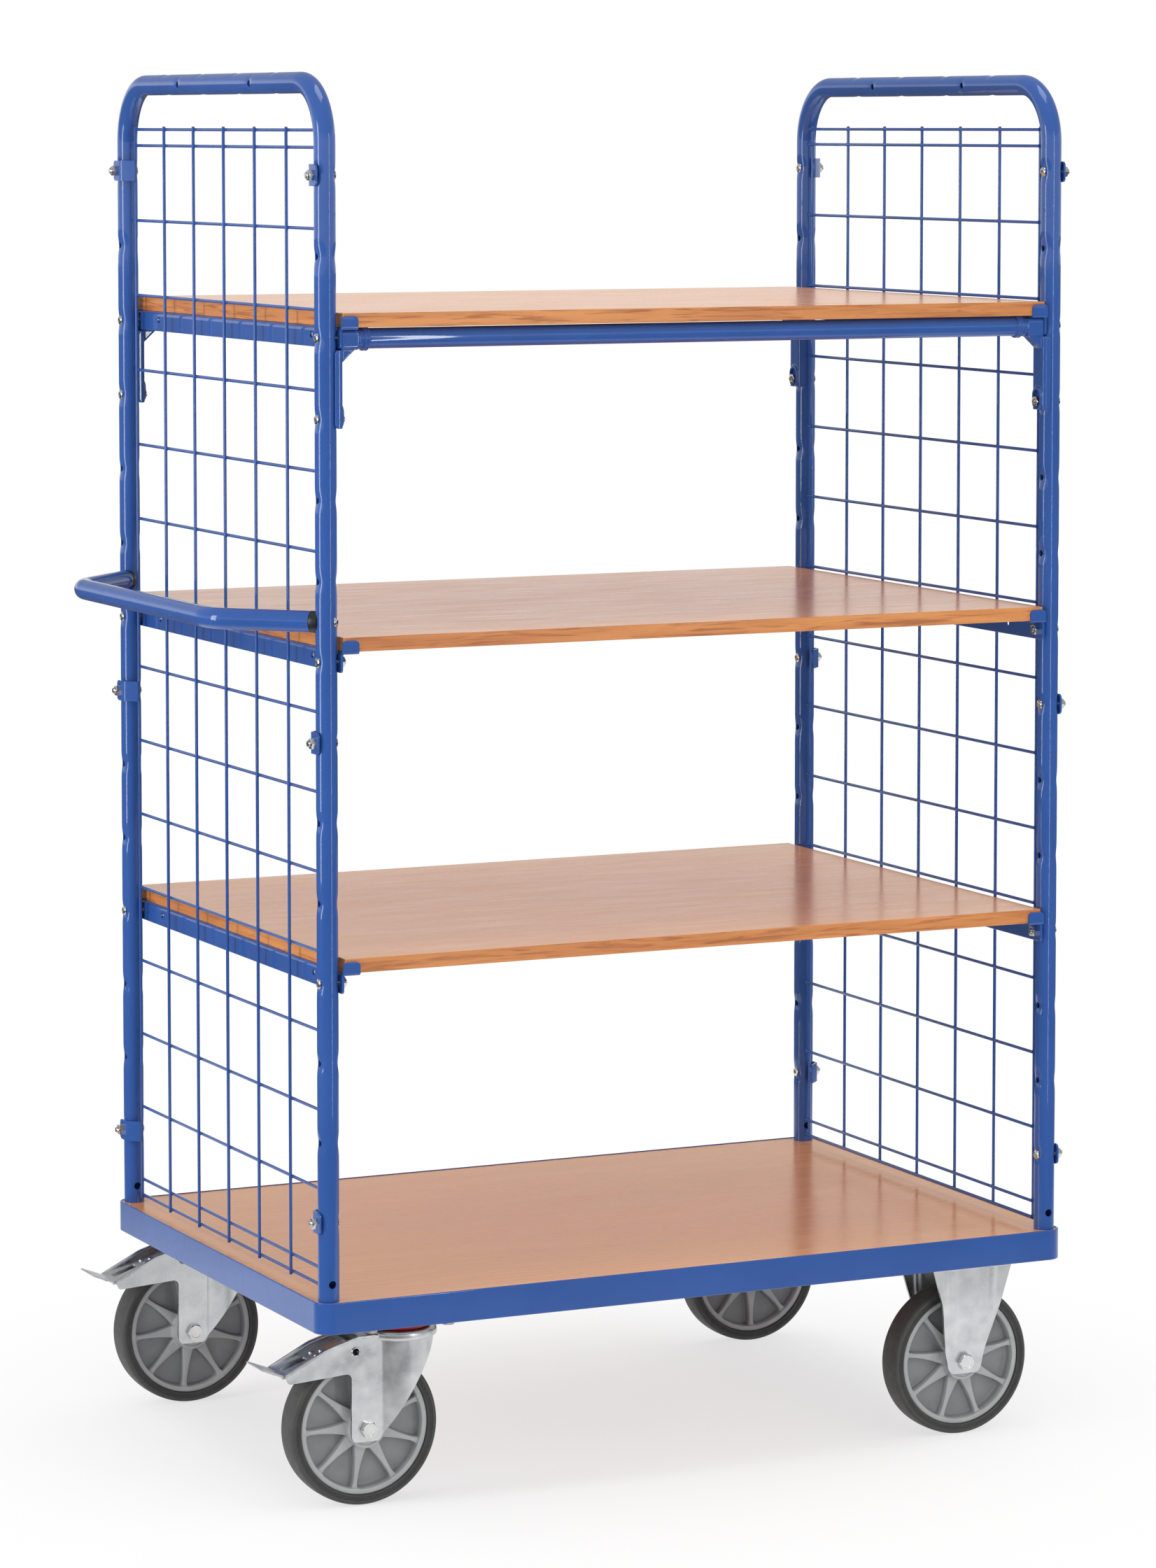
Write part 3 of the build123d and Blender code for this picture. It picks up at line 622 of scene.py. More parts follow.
def ramp(tree, socket, dark, light):
    """Colours between two screen colours, spread over the middle range of a noise."""
    node = add(tree, "ShaderNodeValToRGB", {}, {"Fac": socket})
    for element, position, tone in zip(node.color_ramp.elements, noise_range, (dark, light)):
        element.position = position
        element.color = colour(*tone)
    return node.outputs["Color"]


def map_range(tree, socket, from_low, from_high, to_low, to_high):
    """Value stretched from one range to another."""
    values = {"From Min": from_low, "From Max": from_high, "To Min": to_low, "To Max": to_high}
    return add(tree, "ShaderNodeMapRange", values, {"Value": socket}).outputs["Result"]


def spread(tree, socket, low, high):
    """Value stretched from the middle range of a noise to a range of its own."""
    return map_range(tree, socket, *noise_range, low, high)


def bump(tree, socket, strength, depth=0.0003):
    """Surface relief of a depth in metres."""
    values = {"Strength": strength, "Distance": depth}
    return add(tree, "ShaderNodeBump", values, {"Height": socket}).outputs["Normal"]


def mixed(tree, share, first, second):
    """Mix of two colour sockets by a share."""
    node = tree.nodes.new("ShaderNodeMix")
    node.data_type = "RGBA"
    tree.links.new(share, node.inputs["Factor"])
    colours = [socket for socket in node.inputs if socket.type == "RGBA"]
    tree.links.new(first, colours[0])
    tree.links.new(second, colours[1])
    return next(socket for socket in node.outputs if socket.type == "RGBA")


def dress(tree, shader, sockets):
    """Link sockets to a shader's inputs by name."""
    for key, socket in sockets.items():
        tree.links.new(socket, shader.inputs[key])


# Materials
def blue_paint():
    """Glossy powder coat with a fine orange peel."""
    material, tree, shader = start_material("blue_paint")
    drift = noise(tree, 6.0)
    dress(tree, shader, {
        "Base Color": ramp(tree, drift, (43, 81, 150), (49, 88, 160)),
        "Roughness": spread(tree, noise(tree, 80.0), 0.28, 0.36),
        "Normal": bump(tree, noise(tree, 260.0, detail=2.0), strength=0.05),
    })
    shader.inputs["Specular IOR Level"].default_value = 0.1
    shader.inputs["Coat Weight"].default_value = 0.85
    shader.inputs["Coat Roughness"].default_value = 0.04
    return material


def beech_top():
    """Printed beech decor: soft streaks and short flecks along the board."""
    material, tree, shader = start_material("beech_top")
    broad = noise(tree, 9.0, detail=4.0, stretch=(0.22, 1.0, 1.0), distortion=0.6)
    fine = noise(tree, 150.0, detail=4.0, stretch=(0.06, 1.0, 1.0))
    fleck = noise(tree, 420.0, detail=2.0, stretch=(0.16, 1.0, 1.0))
    wide_tone = ramp(tree, broad, (209, 139, 74), (225, 157, 90))
    fine_tone = ramp(tree, fine, (195, 126, 64), (227, 161, 93))
    soft = mixed(tree, spread(tree, fine, 0.25, 0.75), wide_tone, fine_tone)
    dark = ramp(tree, broad, (160, 98, 58), (172, 110, 66))
    share = map_range(tree, fleck, from_low=0.62, from_high=0.74, to_low=0.0, to_high=0.45)
    dress(tree, shader, {
        "Base Color": mixed(tree, share, soft, dark),
        "Roughness": spread(tree, fine, 0.17, 0.27),
        "Normal": bump(tree, fine, strength=0.06),
    })
    return material


def beech_edge(name, stretch):
    """Edge band with dark wavy grain lines along the edge."""
    material, tree, shader = start_material(name)
    broad = noise(tree, 60.0, stretch=stretch, distortion=1.2)
    lines = noise(tree, 260.0, detail=5.0, stretch=stretch, distortion=0.8)
    base = ramp(tree, broad, (188, 113, 56), (214, 141, 77))
    dark = ramp(tree, lines, (138, 74, 36), (158, 88, 44))
    share = map_range(tree, lines, from_low=0.52, from_high=0.66, to_low=0.0, to_high=0.75)
    dress(tree, shader, {
        "Base Color": mixed(tree, share, base, dark),
        "Roughness": spread(tree, lines, 0.4, 0.5),
        "Normal": bump(tree, lines, strength=0.1),
    })
    return material


def zinc(name, dark, light, rough):
    """Plated steel with a mottled sheen."""
    material, tree, shader = start_material(name)
    cloud = noise(tree, 45.0, detail=5.0)
    grain = noise(tree, 600.0, detail=3.0)
    dress(tree, shader, {
        "Base Color": ramp(tree, cloud, dark, light),
        "Roughness": spread(tree, cloud, *rough),
        "Normal": bump(tree, grain, strength=0.06, depth=0.0002),
    })
    shader.inputs["Metallic"].default_value = 1.0
    return material


def plain_moulding(name, dark, light, rough, grain_scale):
    """Plastic or rubber with a fine moulded grain and slight unevenness."""
    material, tree, shader = start_material(name)
    dress(tree, shader, {
        "Base Color": ramp(tree, noise(tree, 25.0), dark, light),
        "Roughness": spread(tree, noise(tree, 120.0), *rough),
        "Normal": bump(tree, noise(tree, grain_scale, detail=2.0), strength=0.1),
    })
    return material


def rim_plastic():
    """Moulded grey plastic with painted light: a painted highlight on the faces that stand out and painted
    shade on the low web.
    """
    material, tree, shader = start_material("rim_plastic")
    raised_highlight = add(tree, "ShaderNodeAttribute")
    raised_highlight.attribute_name = "raised_highlight"
    cloud = noise(tree, 40.0)
    # Painted shade for the low web and painted highlight for the raised hub, spokes and ring, mixed by each
    # point's painted-highlight share
    low = ramp(tree, cloud, (124, 126, 128), (136, 138, 139))
    high = ramp(tree, cloud, (160, 162, 163), (172, 174, 174))
    dress(tree, shader, {
        "Base Color": mixed(tree, raised_highlight.outputs["Fac"], low, high),
        "Roughness": spread(tree, noise(tree, 160.0), 0.34, 0.46),
        "Normal": bump(tree, noise(tree, 900.0, detail=2.0), strength=0.08),
    })
    return material


long_edge = beech_edge("beech_edge_long", (0.05, 1.0, 1.0))
short_edge = beech_edge("beech_edge_short", (1.0, 0.05, 1.0))
looks = {
    "blue_paint": [blue_paint()],
    "beech_board": [beech_top(), long_edge, short_edge],
    "bolt_zinc": [zinc("bolt_zinc", (206, 207, 206), (228, 229, 228), (0.12, 0.22))],
    "fork_zinc": [zinc("fork_zinc", (196, 199, 201), (222, 225, 226), (0.23, 0.36))],
    "seal_red": [plain_moulding("seal_red", (132, 22, 26), (156, 32, 34), (0.3, 0.4), 500.0)],
    "black_plastic": [plain_moulding("black_plastic", (26, 27, 30), (36, 37, 40), (0.35, 0.5), 700.0)],
    "rim_plastic": [rim_plastic()],
    "tyre_grey": [plain_moulding("tyre_grey", (58, 58, 58), (68, 68, 67), (0.5, 0.66), 800.0)],
}


# Platform and boards
def platform():
    """Folded rim with rounded edges, the ledge under the deck, two caster channels and two stiffeners."""
    low, high = span("platform_frame")
    corners = [(0.0, low.z), (0.0, high.z), (rim_wall, high.z), (rim_wall, low.z)]
    wall = rounded([(inset, height, rim_rounding) for inset, height in corners], rim_step)
    rim = frame_ring(bmesh.new(), low, high, rim_corner, wall)
    overlap = rim_wall / 2
    under, over = ledge_levels
    shelf = [(overlap, under), (overlap, over), (ledge_width, over), (ledge_width, under)]
    ledge = frame_ring(bmesh.new(), low, high, rim_corner + ledge_width, shelf)
    reach = high.y - overlap
    floor = mount_level
    channels, stiffeners = blanks(2)
    half = channel_width / 2
    inner = half - channel_wall
    up = under + rim_rounding
    base = floor + channel_wall
    outline = [(-half, floor), (half, floor), (half, up), (inner, up), (inner, base), (-inner, base),
               (-inner, up), (-half, up)]
    places = [pivots["front_swivel"].x, pivots["front_right_wheel"].x]
    for x in places:
        prism(channels, [(x + along, height) for along, height in outline], -reach, reach, from_side)
    start = places[0] + half - overlap
    finish = places[1] - half + overlap
    for y in (-stiffener_offset, stiffener_offset):
        near, far = y - stiffener_width / 2, y + stiffener_width / 2
        outline = [(near, floor), (far, floor), (far, under - overlap), (near, under - overlap)]
        prism(stiffeners, outline, start, finish, from_end)
    mesh = unite(rim, ledge, channels, stiffeners)
    sheet = piece("platform_sheet", mesh, "blue_paint", "trolley", "platform_frame")
    sheet.modifiers.new("flat_faces", "WEIGHTED_NORMAL").keep_sharp = True


def shelf_panel(name):
    """Board with softened edges, the decor on its faces and the grained band on its edges."""
    node = f"{name}_shelf_board"
    low, high = span(node)
    mesh = prism(bmesh.new(), rectangle(low, high, 0.0, board_corner), low.z, high.z, in_plan)
    bmesh.ops.recalc_face_normals(mesh, faces=mesh.faces)
    for face in mesh.faces:
        if abs(face.normal.z) < upright_limit:
            face.material_index = 1 if abs(face.normal.y) > abs(face.normal.x) else 2
    piece(f"{name}_shelf_panel", mesh, "beech_board", "trolley", node, rounding=board_rounding)


# Hoops and mesh walls
def dimple(depth, reach, distance, facing_share):
    """Depth of a pressed dimple at a distance from its middle, signed by the way that the wall faces."""
    pressed = depth * math.exp(-(distance / reach) ** 2) * abs(facing_share) ** dimple_focus
    return math.copysign(pressed, facing_share)


def hoop_dent(point, outward):
    """Inward push of the wall round the nearest bolt hole of a post or of the top bar."""
    push = Vector()
    if point.z > bar_level - bar_margin:
        push.x = -dimple(bar_dent_depth, bar_dent_reach, abs(point.y) - bar_hole, outward.x)
        for place in (bar_notch, 3 * bar_notch):
            push.z -= dimple(bar_dent_depth, bar_dent_reach, abs(point.y) - place, outward.z)
        return push
    hole = round((point.z - deck_top) / hole_pitch)
    if 1 <= hole <= holes_per_post:
        push.x = -dimple(dimple_depth, dimple_reach, point.z - post_level(hole), outward.x)
    return push


def hoop(end):
    """Bent tube with a pressed dimple and a through hole at every level of the posts."""
    x = ends[end][0]
    corners = [(-half_y, hoop_low.z), (-half_y, bar_level), (half_y, bar_level), (half_y, hoop_low.z)]
    route = bent_route([Vector((x, y, z)) for y, z in corners], hoop_bend, tube_step)
    mesh = tube(route, x_axis, tube_radius, hoop_dent)
    drill = bmesh.new()
    past = 1.5 * tube_radius
    for y in (-half_y, half_y):
        for hole in range(1, holes_per_post + 1):
            rod(drill, (x - past, y, post_level(hole)), (x + past, y, post_level(hole)), bolt_hole)
        foot = deck_top + foot_hole_height
        rod(drill, (x, y - past, foot), (x, y + past, foot), foot_hole)
    for y in (-bar_hole, bar_hole):
        rod(drill, (x - past, y, bar_level), (x, y, bar_level), bolt_hole)
    mesh = combine(mesh, drill, "DIFFERENCE")
    piece(f"{end}_hoop_tube", mesh, "blue_paint", "trolley", f"{end}_hoop")


def mesh_wall(end):
    """Upright and level wires with a lump of coating over each weld."""
    x, inward = ends[end]
    low, high = span(f"{end}_mesh")
    upright_x, level_x = (x + inward * plane for plane in wire_planes)
    first_y, last_y = low.y + mesh_overrun, high.y - mesh_overrun
    pitch = (last_y - first_y) / mesh_columns
    columns = [first_y + pitch * index for index in range(mesh_columns + 1)]
    levels = [low.z + mesh_overrun, high.z - mesh_overrun]
    levels += [deck_top + mesh_first_row + hole_pitch * row for row in range(mesh_rows)]
    uprights, crossbars, welds = blanks(3)
    for y in columns:
        rod(uprights, (upright_x, y, low.z), (upright_x, y, high.z), wire_radius, wire_sides, wire_rounding)
    for z in levels:
        rod(crossbars, (level_x, low.y, z), (level_x, high.y, z), wire_radius, wire_sides, wire_rounding)
        for y in columns:
            place = Matrix.Translation(((upright_x + level_x) / 2, y, z))
            lump = place @ Matrix.Diagonal((*weld_size, 1.0))
            bmesh.ops.create_icosphere(welds, subdivisions=2, radius=1.0, matrix=lump)
    mesh = unite(uprights, crossbars, welds)
    piece(f"{end}_mesh_wires", mesh, "blue_paint", "trolley", f"{end}_mesh")


def mesh_clamps(end):
    """Strips that are bolted outside the posts and bent round them to the mesh."""
    x, inward_x = ends[end]
    back = clamp_face - clamp_thickness
    tip_x, tip_y = clamp_tip
    slope = math.atan2(tip_y - clamp_bend, tip_x - clamp_face)
    offset = clamp_thickness * math.tan((math.pi / 2 - slope) / 2)
    outer_tip = (tip_x - clamp_thickness * math.sin(slope), tip_y + clamp_thickness * math.cos(slope))
    inside, outside = clamp_bend_radii
    outline = rounded([
        (clamp_face, -clamp_tail, 0.0),
        (clamp_face, clamp_bend, inside),
        (tip_x, tip_y, clamp_tip_round),
        (*outer_tip, clamp_tip_round),
        (back, clamp_bend + offset, outside),
        (back, -clamp_tail, 0.0),
    ])
    strips, limits, welds = blanks(3)
    weld_along, weld_across = clamp_weld
    for y, inward_y in sides.values():
        bent = [(x + inward_x * along, y + inward_y * across) for along, across in outline]
        weld = (x + inward_x * weld_along, y + inward_y * weld_across)
        tail = y - inward_y * clamp_tail
        tip = y + inward_y * 2 * tip_y
        for hole in clamp_holes:
            level = post_level(hole)
            low, high = level - clamp_half_height, level + clamp_half_height
            prism(strips, bent, low - overcut, high + overcut, in_plan)
            corners = [(tail, low, clamp_corner), (tip, low, 0.0), (tip, high, 0.0),
                       (tail, high, clamp_corner)]
            prism(limits, rounded(corners), x - 2 * tube_radius, x + 2 * tube_radius, from_end)
            bottom, top = (*weld, level - clamp_weld_half), (*weld, level + clamp_weld_half)
            rod(welds, bottom, top, clamp_weld_radius, clamp_weld_sides, clamp_weld_round)
    mesh = unite(combine(strips, limits, "INTERSECT"), welds)
    piece(f"{end}_clamp_strips", mesh, "blue_paint", "trolley", f"{end}_mesh_clamps", rounding=clamp_edge)


# Fasteners
def hexagon(flats):
    """Radius of a six-sided bar as a function of the angle."""
    return lambda angle: flats / 2 / math.cos(angle % (math.pi / 3) - math.pi / 6)


def turned_corner(flats, height):
    """Height to which a conical turning leaves the sides of a six-sided head."""
    side = hexagon(flats)
    slope = math.tan(math.radians(turning_angle))
    return lambda angle: height - (side(angle) - turning_share * flats / 2) * slope


def hex_nut(mesh, face, outward, flats, height, bore):
    """Six-sided nut with turned corners, standing on a face."""
    side = hexagon(flats)
    profile = [
        (side, 0.0),
        (side, turned_corner(flats, height)),
        (turning_share * flats / 2, height),
        (bore + bore_chamfer, height),
        (bore, height - bore_chamfer),
        (bore, 0.0),
    ]
    turned(mesh, facing(face, outward), profile, closed=True)


def hex_bolt(mesh, face, outward, flats, height, shank, length):
    """Hexagon bolt with turned corners and a washer face under its head."""
    side = hexagon(flats)
    washer = washer_share * flats / 2
    profile = [
        (shank - shank_chamfer, -length),
        (shank, shank_chamfer - length),
        (shank, 0.0),
        (washer, 0.0),
        (washer, washer_height),
        (side, washer_height + washer_step),
        (side, turned_corner(flats, height)),
        (turning_share * flats / 2, height),
    ]
    profile += [(share * flats / 2, height + rise) for share, rise in head_dish]
    turned(mesh, facing(face, outward), profile)


def button_screw(mesh, seat, outward, length):
    """Round-headed screw with a hexagon socket, its head standing on a seat."""
    socket = hexagon(socket_flats)
    tip_radius, tip_length = screw_tip
    under, rim, rim_height = screw_rim
    crown, run, rise = screw_dome
    edge, mouth, floor = socket_levels
    profile = [(tip_radius, -length), (bolt_radius, tip_length - length), (bolt_radius, 0.0),
               (under, 0.0), (rim, rim_height)]
    for part in range(1, dome_parts + 1):
        angle = math.radians(round_step * part)
        profile.append((crown + run * math.cos(angle), rim_height + rise * math.sin(angle)))
    profile += [(lambda angle: socket(angle) + socket_chamfer, edge), (socket, mouth), (socket, floor)]
    turned(mesh, facing(seat, outward), profile)


def frame_fasteners():
    """Screws and nuts of the clamps, the shelf rails and the bracket lugs."""
    clamp_screws, clamp_nuts, shelf_screws, shelf_nuts = blanks(4)
    faces = [(hole, rail_nut_face) for hole in shelf_holes.values()]
    faces.append((lug_hole, recess_floor))
    for x, inward_x in ends.values():
        inward = Vector((inward_x, 0.0, 0.0))
        for y in (-half_y, half_y):
            for hole in clamp_holes:
                centre = Vector((x, y, post_level(hole)))
                length = head_seat + clamp_nut_face + nut_height + clamp_bolt_end
                button_screw(clamp_screws, centre + inward * head_seat, inward, length)
                seat = centre - inward * clamp_nut_face
                hex_nut(clamp_nuts, seat, -inward, nut_flats, nut_height, bolt_radius)
            for hole, face in faces:
                centre = Vector((x, y, post_level(hole)))
                length = head_seat + face + nut_height + bolt_end
                button_screw(shelf_screws, centre - inward * head_seat, -inward, length)
                if hole != shelf_holes["upper"]:
                    seat = centre + inward * face
                    hex_nut(shelf_nuts, seat, inward, nut_flats, nut_height, bolt_radius)
    piece("clamp_screws", clamp_screws, "bolt_zinc", "trolley", "clamp_bolts")
    piece("clamp_hex_nuts", clamp_nuts, "bolt_zinc", "trolley", "clamp_nuts")
    piece("shelf_screws", shelf_screws, "bolt_zinc", "trolley", "shelf_bolts")
    piece("shelf_hex_nuts", shelf_nuts, "bolt_zinc", "trolley", "shelf_nuts")


# Shelf rails, brackets and cross tubes
def inward_span(end, first, last):
    """Places along the trolley at two distances inward from a hoop, the lower one first."""
    x, inward = ends[end]
    return sorted((x + inward * first, x + inward * last))


def inward_outline(end, points):
    """Outline seen from the side, from distances inward from a hoop and heights."""
    x, inward = ends[end]
    return [(x + inward * along, height) for along, height in points]


def shelf_rail(name, end):
    """Folded angle with a turned-up tab at both ends and a round hole near each post."""
    node = f"{name}_shelf_rail_{end}"
    x, inward = ends[end]
    level = post_level(shelf_holes[name])
    top = level + rail_half_depth
    under = top - rail_thickness
    foot = level - rail_half_depth
    flange = tube_radius + rail_thickness
    inside, outside = rail_fold
    angle = rounded([
        (tube_radius, foot, rail_edge),
        (flange, foot, rail_edge),
        (flange, under, inside),
        (rail_reach, under, rail_edge),
        (rail_reach, top, rail_edge),
        (tube_radius, top, outside),
    ])
    mesh, ends_limit, tabs, tabs_limit, holes = blanks(5)
    prism(mesh, inward_outline(end, angle), -rail_end - overcut, rail_end + overcut, from_side)
    above = top + overcut
    corners = [(-rail_end, foot, rail_end_round), (rail_end, foot, rail_end_round),
               (rail_end, above, 0.0), (-rail_end, above, 0.0)]
    prism(ends_limit, rounded(corners), x - 2 * rail_reach, x + 2 * rail_reach, from_end)
    mesh = combine(mesh, ends_limit, "INTERSECT")
    inner, outer = tab_faces
    tab_inside, tab_outside = tab_fold
    root = rail_end - tab_root
    crest = level + tab_top
    strip = rounded([
        (root, under + sliver, 0.0),
        (outer, under + sliver, tab_outside),
        (outer, crest, tab_edge),
        (inner, crest, tab_edge),
        (inner, top - sliver, tab_inside),
        (root, top - sliver, 0.0),
    ])
    limit = rounded([
        (tab_start, under - overcut, 0.0),
        (rail_reach - sliver, under - overcut, 0.0),
        (rail_reach - sliver, crest, tab_corner),
        (tab_start, crest, tab_corner),
    ])
    prism(tabs_limit, inward_outline(end, limit), -2 * half_y, 2 * half_y, from_side)
    tab_span = inward_span(end, tab_start - overcut, rail_reach + overcut)
    for y, inward_y in sides.values():
        prism(tabs, [(-inward_y * across, height) for across, height in strip], *tab_span, from_end)
        hole = Vector((x, y + inward_y * rail_hole_place, level + rail_hole_rise))
        rod(holes, hole, hole + Vector((inward * 2 * flange, 0.0, 0.0)), bolt_hole)
    mesh = combine(mesh, combine(tabs, tabs_limit, "INTERSECT"), "UNION")
    mesh = combine(mesh, holes, "DIFFERENCE")
    piece(f"{name}_{end}_shelf_angle", mesh, "blue_paint", "trolley", node, sharp=30.0)


def upright_oblong(half_width, span_z):
    """Outline with half-round ends, seen from the end of the trolley."""
    low, high = span_z
    corners = [(-half_width, low), (half_width, low), (half_width, high), (-half_width, high)]
    return rounded([(*corner, half_width - oblong_flat) for corner in corners])


def cross_tube_axis(side):
    """Height and radius of a cross tube."""
    low, high = span(f"{side}_cross_tube")
    return (low.z + high.z) / 2, (high.z - low.z) / 2


# Neck of a bracket: distance outside the cross tube and place along it
neck_profile = [(-1.0, 32.0), (0.2, 45.0), (0.8, 46.5), (2.8, 48.0), (2.8, 49.6), (1.4, 50.6), (1.4, 51.4),
                (2.8, 52.4), (2.8, 54.0), (0.8, 55.5), (0.8, bead_end)]


def bracket(end, side):
    """Pressed bracket with soft edges: box, ringed neck for the cross tube, gusset, channel leg and boss."""
    x, inward = ends[end]
    y = sides[side][0]
    near, far = y - 2 * leg_half_width, y + 2 * leg_half_width
    level = post_level(shelf_holes["upper"])
    board_under = level + rail_half_depth - bracket_gap
    top = level + rail_half_depth - rail_thickness
    knee = level + bracket_bottom
    lug_z = post_level(lug_hole)
    foot = lug_z + boss_span[0]
    axis_z, radius = cross_tube_axis(side)
    start, finish = bracket_box
    box, web, leg, leg_limit, boss, recess, post, above = blanks(8)
    corners = [(y - bracket_half_width, knee), (y + bracket_half_width, knee),
               (y + bracket_half_width, top), (y - bracket_half_width, top)]
    outline = rounded([(*corner, leg_corner) for corner in corners])
    prism(box, outline, *inward_span(end, start, finish), from_end)
    profile = [(radius + beyond, place) for beyond, place in neck_profile]
    neck = turned(bmesh.new(), facing((x, y, axis_z), (inward, 0.0, 0.0)), profile, tube_sides)
    inner, face = leg_span
    lap, drop = knee + bracket_lap, knee - gusset_drop
    gusset = [(start, lap), (gusset_reach, lap), (face + gusset_lap, drop), (start, drop)]
    prism(web, inward_outline(end, gusset), y - gusset_half_width, y + gusset_half_width, from_side)
    plan = rounded([(inner, -leg_half_width, 0.0), (face, -leg_half_width, leg_corner),
                    (face, leg_half_width, leg_corner), (inner, leg_half_width, 0.0)])
    outline = [(x + inward * along, y + across) for along, across in plan]
    prism(leg, outline, foot - overcut, knee + overcut, in_plan)
    side_view = rounded([(inner, foot, leg_corner), (face + overcut, foot, 0.0),
                         (face + overcut, knee, 0.0), (inner, knee, leg_corner)])
    prism(leg_limit, inward_outline(end, side_view), near, far, from_side)
    leg = combine(leg, leg_limit, "INTERSECT")
    outline = [(y + across, lug_z + rise) for across, rise in upright_oblong(boss_half_width, boss_span)]
    prism(boss, outline, *inward_span(end, inner + bracket_lap, boss_face), from_end)
    mesh = melted(unite(box, neck, web, leg, boss), coating_grain, coating_rounds)
    outline = [(y + across, lug_z + rise) for across, rise in upright_oblong(recess_half_width, recess_span)]
    prism(recess, outline, *inward_span(end, recess_floor, 2 * boss_face), from_end)
    low, high = foot - post_margin, top + post_margin
    rod(post, (x, y, low), (x, y, high), tube_radius + bracket_gap, post_sides)
    rail_foot = level - rail_half_depth - bracket_gap
    ceiling = board_under + rail_thickness
    corners = [(0.0, rail_foot), (start, rail_foot), (start, board_under), (2 * bead_end, board_under),
               (2 * bead_end, ceiling), (0.0, ceiling)]
    prism(above, inward_outline(end, corners), near, far, from_side)
    mesh = combine(mesh, unite(recess, post, above), "DIFFERENCE")
    piece(f"{side}_{end}_bracket_form", mesh, "blue_paint", "trolley", f"{side}_{end}_bracket", sharp=50.0)


def cross_tube(side):
    """Straight tube between the necks of two brackets."""
    y = sides[side][0]
    axis_z, radius = cross_tube_axis(side)
    run = [Vector((x + inward * (bead_end - pipe_lap), y, axis_z)) for x, inward in ends.values()]
    mesh = tube(bent_route(run, 0.0, pipe_step), y_axis, radius)
    piece(f"{side}_cross_pipe", mesh, "blue_paint", "trolley", f"{side}_cross_tube")


# Push handle
def handle_point(side, distance):
    """Point on the slanting arm at a distance from the post's axis."""
    y, inward_y = sides[side]
    step = distance / math.sqrt(2)
    return Vector((ends["left"][0] - step, y + inward_y * step, handle_level))


def push_handle():
    """Bow with two slanting arms, the saddles that it stands on and the screws through them."""
    corner = handle_reach * math.sqrt(2)
    start, finish = spacer_span
    run = [handle_point("front", finish), handle_point("front", corner)]
    run += [handle_point("rear", corner), handle_point("rear", finish)]
    mesh = tube(bent_route(run, handle_bend, tube_step), z_axis, tube_radius)
    piece("push_handle_tube", mesh, "blue_paint", "trolley", "push_handle")
    saddles, screws, bars = blanks(3)
    rise = Vector((0.0, 0.0, 2 * tube_radius))
    for side in sides:
        post, near, far = (handle_point(side, distance) for distance in (0.0, start, finish))
        rod(saddles, near, far, tube_radius, tube_sides, spacer_rounding)
        rod(bars, post - rise, post + rise, tube_radius, tube_sides)
        seat = handle_point(side, handle_screw_sink - tube_radius)
        button_screw(screws, seat, (post - far).normalized(), 2 * tube_radius + finish)
    saddles = combine(saddles, bars, "DIFFERENCE")
    piece("handle_saddles", saddles, "black_plastic", "trolley", "handle_spacers")
    piece("handle_screws", screws, "bolt_zinc", "trolley", "handle_bolts")


# Wheels
def interpolate(value, pairs):
    """Value between listed pairs, straight from one to the next."""
    if value <= pairs[0][0]:
        return pairs[0][1]
    for (low, first), (high, second) in zip(pairs, pairs[1:]):
        if value <= high:
            return first + (second - first) * (value - low) / (high - low)
    return pairs[-1][1]


# Spoke section: distance from the edge of the spoke's face and share of its height
spoke_section = [(-1.2, 1.0), (-0.5, 0.985), (0.0, 0.93), (0.9, 0.14), (1.5, 0.04), (2.6, 0.0)]
# Rows across the wheel's face: radius with a height, with a share of the way up to hub or ring, or alone
hub_rows = [(bore_radius, 25.0), (10.6, hub_height), (19.4, hub_height), (20.0, 24.2), (21.4, 24.2),
            (22.0, hub_height), (24.7, hub_height), (25.4, 25.0)]
hub_foot = [(25.9, 0.3), (26.5, 0.1), (27.4, 0.03), (28.8, 0.0)]
open_rows = [31.0, 34.0, 38.0, 43.0, 49.0, 55.0, 61.0, 66.0, 70.0, 73.0, 75.0]
ring_foot = [(76.4, 0.02), (77.4, 0.08), (78.2, 0.25), (78.9, 0.88)]
ring_rows = [(79.5, 17.2), (80.2, ring_height), (84.5, ring_height), (85.3, 17.2), (rim_radius, 16.2)]


def spoke_half_width(radius):
    """Half the width of a spoke's face: wide at the hub, slim in the middle, flared at the ring."""
    along = min(1.0, (radius - hub_radius) / (ring_inner - hub_radius))
    taper = (spoke_root - spoke_tip) * (1.0 - along) ** spoke_taper
    return spoke_tip + taper + spoke_flare * along ** flare_power


def spoke_columns(radius):
    """Angles across one spoke's share of the wheel, with the share of the spoke's height at each."""
    half = spoke_half_width(radius)
    limit = math.pi / spoke_count
    columns = []
    for index in range(len(spoke_section)):
        sine = min(steepest_sine, (half + spoke_section[index][0]) / radius)
        angle = min(math.asin(sine), limit * (sector_share + sector_step * index))
        offset = radius * math.sin(angle) - half
        columns.append((angle, interpolate(offset, spoke_section)))
    foot = columns[-1][0]
    for part in range(1, gap_columns + 1):
        angle = foot + (limit - foot) * part / gap_columns
        columns.append((angle, interpolate(radius * math.sin(angle) - half, spoke_section)))
    left = [(-angle, share) for angle, share in reversed(columns[:-1])]
    return [*left, (0.0, 1.0), *columns]


